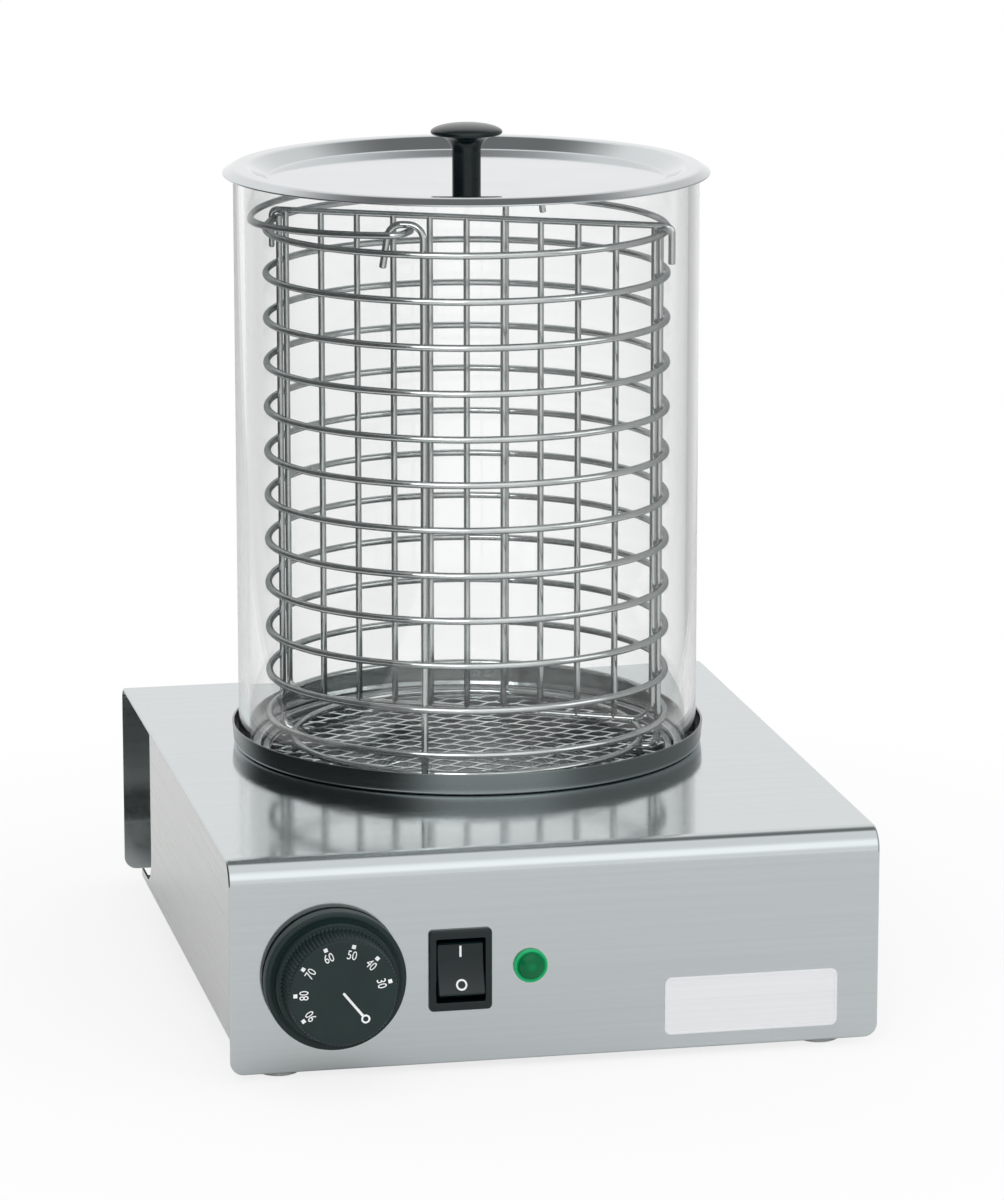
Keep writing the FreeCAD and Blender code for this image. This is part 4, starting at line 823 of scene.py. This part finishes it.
# Each row is a radius, a height and the share of the knurl's depth there.
dial_back_rows = [
    (0, DIAL_BORE_END, 0), (DIAL_BORE, DIAL_BORE_END, 0), (DIAL_BORE, DIAL_HUB_BACK, 0),
    (DIAL_RECESS, DIAL_HUB_BACK, 0), (DIAL_RECESS, DIAL_BACK, 0),
]
dial_skirt_rows = [
    (SKIRT_RADIUS - 0.5, DIAL_BACK, 0), (SKIRT_RADIUS, DIAL_BACK + 0.5, 0),
    (SKIRT_RADIUS, SKIRT_TOP - 1.2, 0), (SKIRT_RADIUS - 0.3, SKIRT_TOP - 0.4, 0),
    (SKIRT_RADIUS - 1.1, SKIRT_TOP, 0),
    (GROOVE_OUTER + 0.5, SKIRT_TOP, 0), (GROOVE_OUTER, GROOVE_Z, 0), (GROOVE_INNER, GROOVE_Z, 0),
]
dial_collar_rows = [
    (COLLAR_RADIUS, GROOVE_Z + 0.5, 0), (COLLAR_RADIUS - 0.2, COLLAR_TOP - 0.6, 0),
    (COLLAR_RADIUS - 0.7, COLLAR_TOP - 0.1, 0), (GRIP_LOW_RADIUS + 0.1, COLLAR_TOP, 0),
]
dial_grip_rows = [
    (GRIP_LOW_RADIUS, GRIP_LOW, 1), (GRIP_HIGH_RADIUS, DIAL_FACE - 1.1, 1),
    (GRIP_HIGH_RADIUS - 0.4, DIAL_FACE - 0.6, 0.4), (GRIP_HIGH_RADIUS - 0.9, DIAL_FACE - 0.2, 0),
    (GRIP_HIGH_RADIUS - 1.6, DIAL_FACE, 0), (0, DIAL_FACE, 0),
]
dial_rows = dial_back_rows + dial_skirt_rows + dial_collar_rows + dial_grip_rows
dial_segments = KNURL_COUNT * KNURL_STEPS
dial_loops = []
for segment in range(dial_segments):
    wave = 0.5 - 0.5 * math.cos(2 * math.pi * segment / KNURL_STEPS)
    angle = 360 * segment / dial_segments
    dial_loops.append([polar(radius - KNURL_DEPTH * knurl * wave, angle, height)
                       for radius, height, knurl in dial_rows])
dial_place = facing_front(DIAL_X, FRONT, CONTROL_Z)
dial = loft(dial_loops, closed=True).moved(dial_place)
make_piece("dial_moulding", dial, looks["black_matte"], "dial", ["thermostat_dial"])


# Marks that stand a little proud of the dial and the rocker

MARK_PROUD = 0.06
MARK_SUNK = 0.2
RING_MARK_STEPS = 40
FONT_HEIGHT_SHARE = 0.73
FONT_OFFSET = 0.005
FONT_STEPS = 4


def inlay(points, surface):
    """Thin mark with a flat outline, laid on a surface height function."""
    top = [Vector((x, y, surface(x, y) + MARK_PROUD)) for x, y in points]
    low = [Vector((x, y, surface(x, y) - MARK_SUNK)) for x, y in points]
    return loft([low, top])


def ring_mark(x, y, outer, inner, surface):
    """Thin mark in the form of a ring, laid on a surface height function."""
    section = [(outer, -MARK_SUNK), (outer, MARK_PROUD), (inner, MARK_PROUD), (inner, -MARK_SUNK)]
    loops = []
    for step in range(RING_MARK_STEPS):
        way = polar(1, 360 * step / RING_MARK_STEPS)
        loop = []
        for radius, lift in section:
            spot_x = x + way.x * radius
            spot_y = y + way.y * radius
            loop.append(Vector((spot_x, spot_y, surface(spot_x, spot_y) + lift)))
        loops.append(loop)
    return loft(loops, closed=True)


def number_mark(text, height):
    """Mesh of a number, standing upright about its own middle, flat at height 0."""
    curve = bpy.data.curves.new("number", "FONT")
    curve.body = text
    curve.size = height / FONT_HEIGHT_SHARE
    curve.align_x = "CENTER"
    curve.align_y = "CENTER"
    curve.extrude = MARK_SUNK / 2
    curve.offset = FONT_OFFSET
    curve.resolution_u = FONT_STEPS
    holder = bpy.data.objects.new("number", curve)
    bpy.context.scene.collection.objects.link(holder)
    bpy.context.view_layer.update()
    mesh = bpy.data.meshes.new_from_object(holder)
    shape = Shape()
    shape.add([vertex.co for vertex in mesh.vertices], [list(polygon.vertices) for polygon in mesh.polygons])
    bpy.data.objects.remove(holder)
    bpy.data.meshes.remove(mesh)
    bpy.data.curves.remove(curve)
    return shape


# Numbers, squares and pointer on the dial's face

NUMBER_ANGLES = {"30": 11.5, "40": 44.3, "50": 76.9, "60": 111.1, "70": 146.3, "80": 180.3, "90": 213.5}
NUMBER_RADIUS = 16.6
NUMBER_HEIGHT = 4.1
NUMBER_WIDTH = 0.78
SQUARE_RADIUS = 20.5
SQUARE_SIDE = 1.7
ZERO_ANGLE = -51.2
ZERO_RADIUS = 15.2
ZERO_OUTER = 1.95
ZERO_INNER = 1.15
POINTER_HALF = 0.55
POINTER_TIP_HALF = 0.3
POINTER_TIP = 0.5
POINTER_OVERLAP = 0.1


def dial_face(x, y):
    return DIAL_FACE


number_z = DIAL_FACE + MARK_PROUD - MARK_SUNK / 2
number_place = at(0, NUMBER_RADIUS, number_z) @ Matrix.Diagonal((NUMBER_WIDTH, 1, 1, 1))
square = [(x, y + SQUARE_RADIUS) for x, y in rectangle(SQUARE_SIDE / 2, SQUARE_SIDE / 2)]
dial_marks = Shape()
for text, angle in NUMBER_ANGLES.items():
    turn = turned(angle - 90, "Z")
    dial_marks.join(number_mark(text, NUMBER_HEIGHT).moved(turn @ number_place))
    dial_marks.join(inlay(square, dial_face).moved(turn))
zero = polar(ZERO_RADIUS, ZERO_ANGLE)
dial_marks.join(ring_mark(zero.x, zero.y, ZERO_OUTER, ZERO_INNER, dial_face))
pointer_end = ZERO_RADIUS - ZERO_OUTER + POINTER_OVERLAP
pointer = [(0, -POINTER_TIP_HALF), (POINTER_TIP, -POINTER_HALF), (pointer_end, -POINTER_HALF),
           (pointer_end, POINTER_HALF), (POINTER_TIP, POINTER_HALF), (0, POINTER_TIP_HALF)]
dial_marks.join(inlay(pointer, dial_face).moved(turned(ZERO_ANGLE, "Z")))
make_piece("dial_numbers", dial_marks.moved(dial_place), mark_white, "dial")


# Switch frame with its well, its back and four blades

BEZEL = (27.6, 36)
BEZEL_CORNER = 2
BEZEL_PROUD = 2.2
BEZEL_WALL = 0.8
WELL = (21.2, 28)
WELL_CORNER = 0.6
WELL_FLOOR = -11
WELL_MIDDLE = (1, 1)
SWITCH_BACK = (24.4, 32)
BACK_CORNER = 0.8
BACK_END = -26
BLADE = (0.8, 6.3)
SMALL_CORNER = 0.2
BLADE_X = 6.1
BLADE_Y = 8
BLADE_END = -35
BLADE_ROOT = 0.2

switch = loft([
    rounded_rectangle(WELL_MIDDLE, 0, SMALL_CORNER, WELL_FLOOR),
    rounded_rectangle(WELL, 0, WELL_CORNER, WELL_FLOOR),
    rounded_rectangle(WELL, 0, WELL_CORNER, BEZEL_PROUD - 0.5),
    rounded_rectangle(WELL, 0.4, WELL_CORNER + 0.2, BEZEL_PROUD - 0.15),
    rounded_rectangle(WELL, 1, WELL_CORNER + 0.4, BEZEL_PROUD),
    rounded_rectangle(BEZEL, -1.8, BEZEL_CORNER - 0.6, BEZEL_PROUD),
    rounded_rectangle(BEZEL, -0.7, BEZEL_CORNER - 0.3, BEZEL_PROUD - 0.25),
    rounded_rectangle(BEZEL, -0.1, BEZEL_CORNER, BEZEL_PROUD - 0.9),
    rounded_rectangle(BEZEL, 0, BEZEL_CORNER, BEZEL_WALL),
    rounded_rectangle(BEZEL, 0, BEZEL_CORNER, 0),
    rounded_rectangle(SWITCH_BACK, 0, BACK_CORNER, 0),
    rounded_rectangle(SWITCH_BACK, 0, BACK_CORNER, BACK_END),
])
blade_levels = (BLADE_END, BACK_END + BLADE_ROOT)
for blade_x in (-BLADE_X, BLADE_X):
    for blade_y in (-BLADE_Y, BLADE_Y):
        blade = loft([rounded_rectangle(BLADE, 0, SMALL_CORNER, level) for level in blade_levels])
        switch.join(blade.moved(at(blade_x, blade_y, 0)))
switch.moved(facing_front(SWITCH_X, FRONT, CONTROL_Z))
make_piece("switch_frame", switch, looks["black_gloss"], "base", ["switch_housing"])


# Rocker with a hollow face, slanted ends and two pivot stubs, and its marks

ROCKER_HALF = 12.8
ROCKER_HALF_WIDTH = 10.3
ROCKER_MIDDLE = 3.6
ROCKER_HOLLOW = 1.8
ROCKER_EDGE = 0.7
ROCKER_EDGE_STEP = 0.25
ROCKER_DRAFT = 1.5
ROCKER_SIDE_LOW = -1
ROCKER_KEEL = -5
ROCKER_KEEL_HALF = 5
ROCKER_STEPS = 24
ROCKER_TILT = 79
PIVOT_PROUD = 2
STUB_START = 10
STUB_END = 11.2
STUB_RADIUS = 1.4
BAR_Y = 7.5
BAR_HALF_LENGTH = 2.4
BAR_HALF_WIDTH = 0.45
BAR_PIECES = 4
RING_Y = -6.9
RING_OUTER = 2.45
RING_INNER = 1.65


def rocker_face(x, y):
    return ROCKER_MIDDLE + ROCKER_HOLLOW * (y / ROCKER_HALF) ** 2


def rocker_side(x, inset):
    """Outline of the rocker at x, drawn in by an inset."""
    reach = ROCKER_HALF - inset
    face_reach = reach - ROCKER_DRAFT
    side_low = ROCKER_SIDE_LOW + inset
    keel = ROCKER_KEEL + inset
    edge_height = rocker_face(x, face_reach) - ROCKER_EDGE - inset
    points = [(-reach, side_low), (-ROCKER_KEEL_HALF, keel), (ROCKER_KEEL_HALF, keel), (reach, side_low),
              (face_reach, edge_height)]
    for step in range(ROCKER_STEPS + 1):
        y = (face_reach - ROCKER_EDGE) * (1 - 2 * step / ROCKER_STEPS)
        points.append((y, rocker_face(x, y) - inset))
    points.append((-face_reach, edge_height))
    return [Vector((x, y, z)) for y, z in points]


rocker_half = [(ROCKER_HALF_WIDTH, ROCKER_EDGE), (ROCKER_HALF_WIDTH - ROCKER_EDGE_STEP, ROCKER_EDGE_STEP),
               (ROCKER_HALF_WIDTH - ROCKER_EDGE, 0)]
rocker = loft([rocker_side(-x, inset) for x, inset in rocker_half]
              + [rocker_side(x, inset) for x, inset in reversed(rocker_half)])
for sign in (-1, 1):
    rocker.join(tube([RIGHT * sign * STUB_START, RIGHT * sign * STUB_END], STUB_RADIUS))
rocker_place = at(SWITCH_X, FRONT + PIVOT_PROUD, CONTROL_Z) @ turned(ROCKER_TILT, "X")
make_piece("rocker_moulding", rocker.moved(rocker_place), looks["black_gloss"], "rocker",
           ["switch_rocker"])

# The bar is laid in short pieces so that it follows the hollow face.
bar_half = BAR_HALF_LENGTH / BAR_PIECES
switch_marks = Shape()
for number in range(BAR_PIECES):
    piece_y = BAR_Y - BAR_HALF_LENGTH + (2 * number + 1) * bar_half
    bar_piece = [(x, y + piece_y) for x, y in rectangle(BAR_HALF_WIDTH, bar_half)]
    switch_marks.join(inlay(bar_piece, rocker_face))
switch_marks.join(ring_mark(0, RING_Y, RING_OUTER, RING_INNER, rocker_face))
make_piece("switch_marks", switch_marks.moved(rocker_place), mark_white, "rocker")


# Pilot lamp lens: a rim, a groove and a dome

LENS_RIM_SIDE = 1.5
LENS_RIM_TOP = (6.5, 1.9)
LENS_GROOVE = (5.8, 1.2)
LENS_DOME_FOOT = (5.4, 2.2)
LENS_DOME_SHOULDER = (3.4, 3.5)
LENS_DOME_TOP = 3.9
LENS_SEGMENTS = 72
lens_outline = outline([
    (0, 0, 0), (LENS_RADIUS, 0, 0.3), (LENS_RADIUS, LENS_RIM_SIDE, 0.6), (*LENS_RIM_TOP, 0.4),
    (*LENS_GROOVE, 0.3), (*LENS_DOME_FOOT, 0.8), (*LENS_DOME_SHOULDER, 2.5), (0, LENS_DOME_TOP, 0),
])
lens = lathe(lens_outline, LENS_SEGMENTS).moved(facing_front(LAMP_X, FRONT, CONTROL_Z))
make_piece("lamp_lens", lens, looks["green_lens"], "base", ["pilot_lamp_lens"])


# Bare plate with a raised border

PLATE_X = (47, 124)
PLATE_Z = (9.8, 35.5)
PLATE_CORNER = 3
PLATE_SUNK = 0.05
PLATE_SIDE = 0.45
PLATE_BORDER = 0.7
PLATE_FIELD = 0.5
plate_size = (PLATE_X[1] - PLATE_X[0], PLATE_Z[1] - PLATE_Z[0])
plate = loft([
    rounded_rectangle(plate_size, 0, PLATE_CORNER, -PLATE_SUNK),
    rounded_rectangle(plate_size, 0, PLATE_CORNER, PLATE_SIDE),
    rounded_rectangle(plate_size, -0.5, PLATE_CORNER - 0.2, PLATE_BORDER),
    rounded_rectangle(plate_size, -2.2, PLATE_CORNER - 1, PLATE_BORDER),
    rounded_rectangle(plate_size, -2.6, PLATE_CORNER - 1.1, PLATE_FIELD),
])
plate.moved(facing_front(sum(PLATE_X) / 2, FRONT, sum(PLATE_Z) / 2))
make_piece("bare_plate", plate, plate_metal, "base")


# Floor of pale paper, in metres. Away from the object it is plain white to the camera.

FLOOR_WIDTH = 1.1
FLOOR_LENGTH = 6
FLOOR_STEP = 0.0004
PAPER = (0.86, 0.86, 0.86, 1)
FADE_START = 0.1
FADE_END = 0.5
GLOW_NEAR = 0.76
GLOW_FAR = 1.0

floor_mesh = bpy.data.meshes.new("floor")
floor_corners = [(x, y, -FLOOR_STEP) for x, y in rectangle(FLOOR_WIDTH / 2, FLOOR_LENGTH / 2)]
floor_mesh.from_pydata(floor_corners, [], [list(range(len(floor_corners)))])
floor = bpy.data.objects.new("floor", floor_mesh)
bpy.context.scene.collection.objects.link(floor)

floor_look = bpy.data.materials.new("floor")
floor_look.use_nodes = True
floor_nodes = Nodes(floor_look.node_tree)
floor_nodes.tree.nodes.remove(floor_nodes.tree.nodes["Principled BSDF"])
paper = floor_nodes.add("ShaderNodeBsdfDiffuse")
paper.inputs["Color"].default_value = PAPER
glow = floor_nodes.add("ShaderNodeEmission")
glow.inputs["Color"].default_value = WHITE
distance = floor_nodes.add("ShaderNodeVectorMath", operation="LENGTH")
floor_nodes.link(floor_nodes.add("ShaderNodeTexCoord").outputs["Object"], distance.inputs[0])
fade = floor_nodes.spread(distance.outputs["Value"], GLOW_NEAR, GLOW_FAR, FADE_START, FADE_END)
floor_nodes.mix(floor_nodes.combine("MULTIPLY", floor_nodes.seen_straight(), fade),
                paper.outputs["BSDF"], glow.outputs["Emission"],
                floor_nodes.tree.nodes["Material Output"].inputs["Surface"])
floor_mesh.materials.append(floor_look)


# World: white to the camera, and a studio with dark sides for light and reflections

# Ranges are parts of a unit direction. The sides and the ceiling at the back are darker than the rest,
# and a brighter card in front shows only in reflections.
SIDE_DARK = (0.08, 0.085, 0.085, 1)
SIDE_START = 0.3
SIDE_END = 0.75
LEFT_LEVEL = 0.0
RIGHT_LEVEL = 0.45
OVERHEAD = (0.6, 0.88)
BEHIND = (0.05, 0.3)
CEILING_LEVEL = 0.14
IN_FRONT = (-0.45, -0.8)
RAISED = (0.15, 0.45)
CARD_LEVEL = 1.45

world = bpy.data.worlds.new("studio")
bpy.context.scene.world = world
world.use_nodes = True
sky = Nodes(world.node_tree)
sky.tree.nodes.clear()
direction = sky.add("ShaderNodeSeparateXYZ")
sky.link(sky.add("ShaderNodeTexCoord").outputs["Generated"], direction.inputs["Vector"])


def from_to(axis, start, end, low=0.0, high=1.0):
    """Soft change from low to high along one axis of the direction."""
    return sky.spread(direction.outputs[axis], low, high, start, end, "SMOOTHSTEP")


left_side = from_to("X", -SIDE_START, -SIDE_END, 1.0, LEFT_LEVEL)
right_side = from_to("X", SIDE_START, SIDE_END, 1.0, RIGHT_LEVEL)
ceiling = sky.combine("MULTIPLY", from_to("Z", *OVERHEAD), from_to("Y", *BEHIND))
ceiling_level = sky.spread(ceiling, 1.0, CEILING_LEVEL, 0.0, 1.0)
sides_level = sky.combine("MULTIPLY", left_side, right_side)
tone = sky.add("ShaderNodeValToRGB")
tone.color_ramp.elements[0].color = SIDE_DARK
tone.color_ramp.elements[1].color = WHITE
sky.link(sky.combine("MULTIPLY", sides_level, ceiling_level), tone.inputs["Fac"])

card = sky.combine("MULTIPLY", from_to("Y", *IN_FRONT), from_to("Z", *RAISED))
mirrored_card = sky.combine("MULTIPLY", card, sky.add("ShaderNodeLightPath").outputs["Is Glossy Ray"])
soft = sky.add("ShaderNodeBackground")
sky.link(tone.outputs["Color"], soft.inputs["Color"])
sky.link(sky.spread(mirrored_card, 1.0, CARD_LEVEL, 0.0, 1.0), soft.inputs["Strength"])
white = sky.add("ShaderNodeBackground")
white.inputs["Color"].default_value = WHITE
white.inputs["Strength"].default_value = 1.0
sky.mix(sky.seen_straight(), soft.outputs["Background"], white.outputs["Background"],
        sky.add("ShaderNodeOutputWorld").inputs["Surface"])


# Lamps and camera, in metres

LAMP_AIM = (0, 0, 0.2)
CAMERA_PLACE = (-0.4729, -2.3222, 0.6963)
CAMERA_AIM = (0.00984, 0.0035, 0.16794)
SENSOR_WIDTH = 36
LENS_LENGTH = 160.78


def aimed(name, data, place, aim):
    """Object at a place that looks at an aim."""
    holder = bpy.data.objects.new(name, data)
    holder.location = place
    holder.rotation_euler = (Vector(aim) - Vector(place)).to_track_quat("-Z", "Y").to_euler()
    bpy.context.scene.collection.objects.link(holder)
    return holder


def soft_box(name, place, width, height, power):
    lamp = bpy.data.lights.new(name, "AREA")
    lamp.shape = "RECTANGLE"
    lamp.size = width
    lamp.size_y = height
    lamp.energy = power
    holder = aimed(name, lamp, place, LAMP_AIM)
    holder.visible_glossy = False


soft_box("key_light", (-1.1, -2.1, 1.5), width=1.3, height=1.0, power=19.5)
soft_box("fill_light", (1.9, -1.2, 1.1), width=1.2, height=1.4, power=7.5)
soft_box("top_light", (0.1, 0.4, 2.2), width=1.4, height=1.4, power=9)

camera_data = bpy.data.cameras.new("camera")
camera_data.sensor_width = SENSOR_WIDTH
camera_data.lens = LENS_LENGTH
bpy.context.scene.camera = aimed("camera", camera_data, CAMERA_PLACE, CAMERA_AIM)
bpy.context.scene.view_settings.view_transform = "Standard"
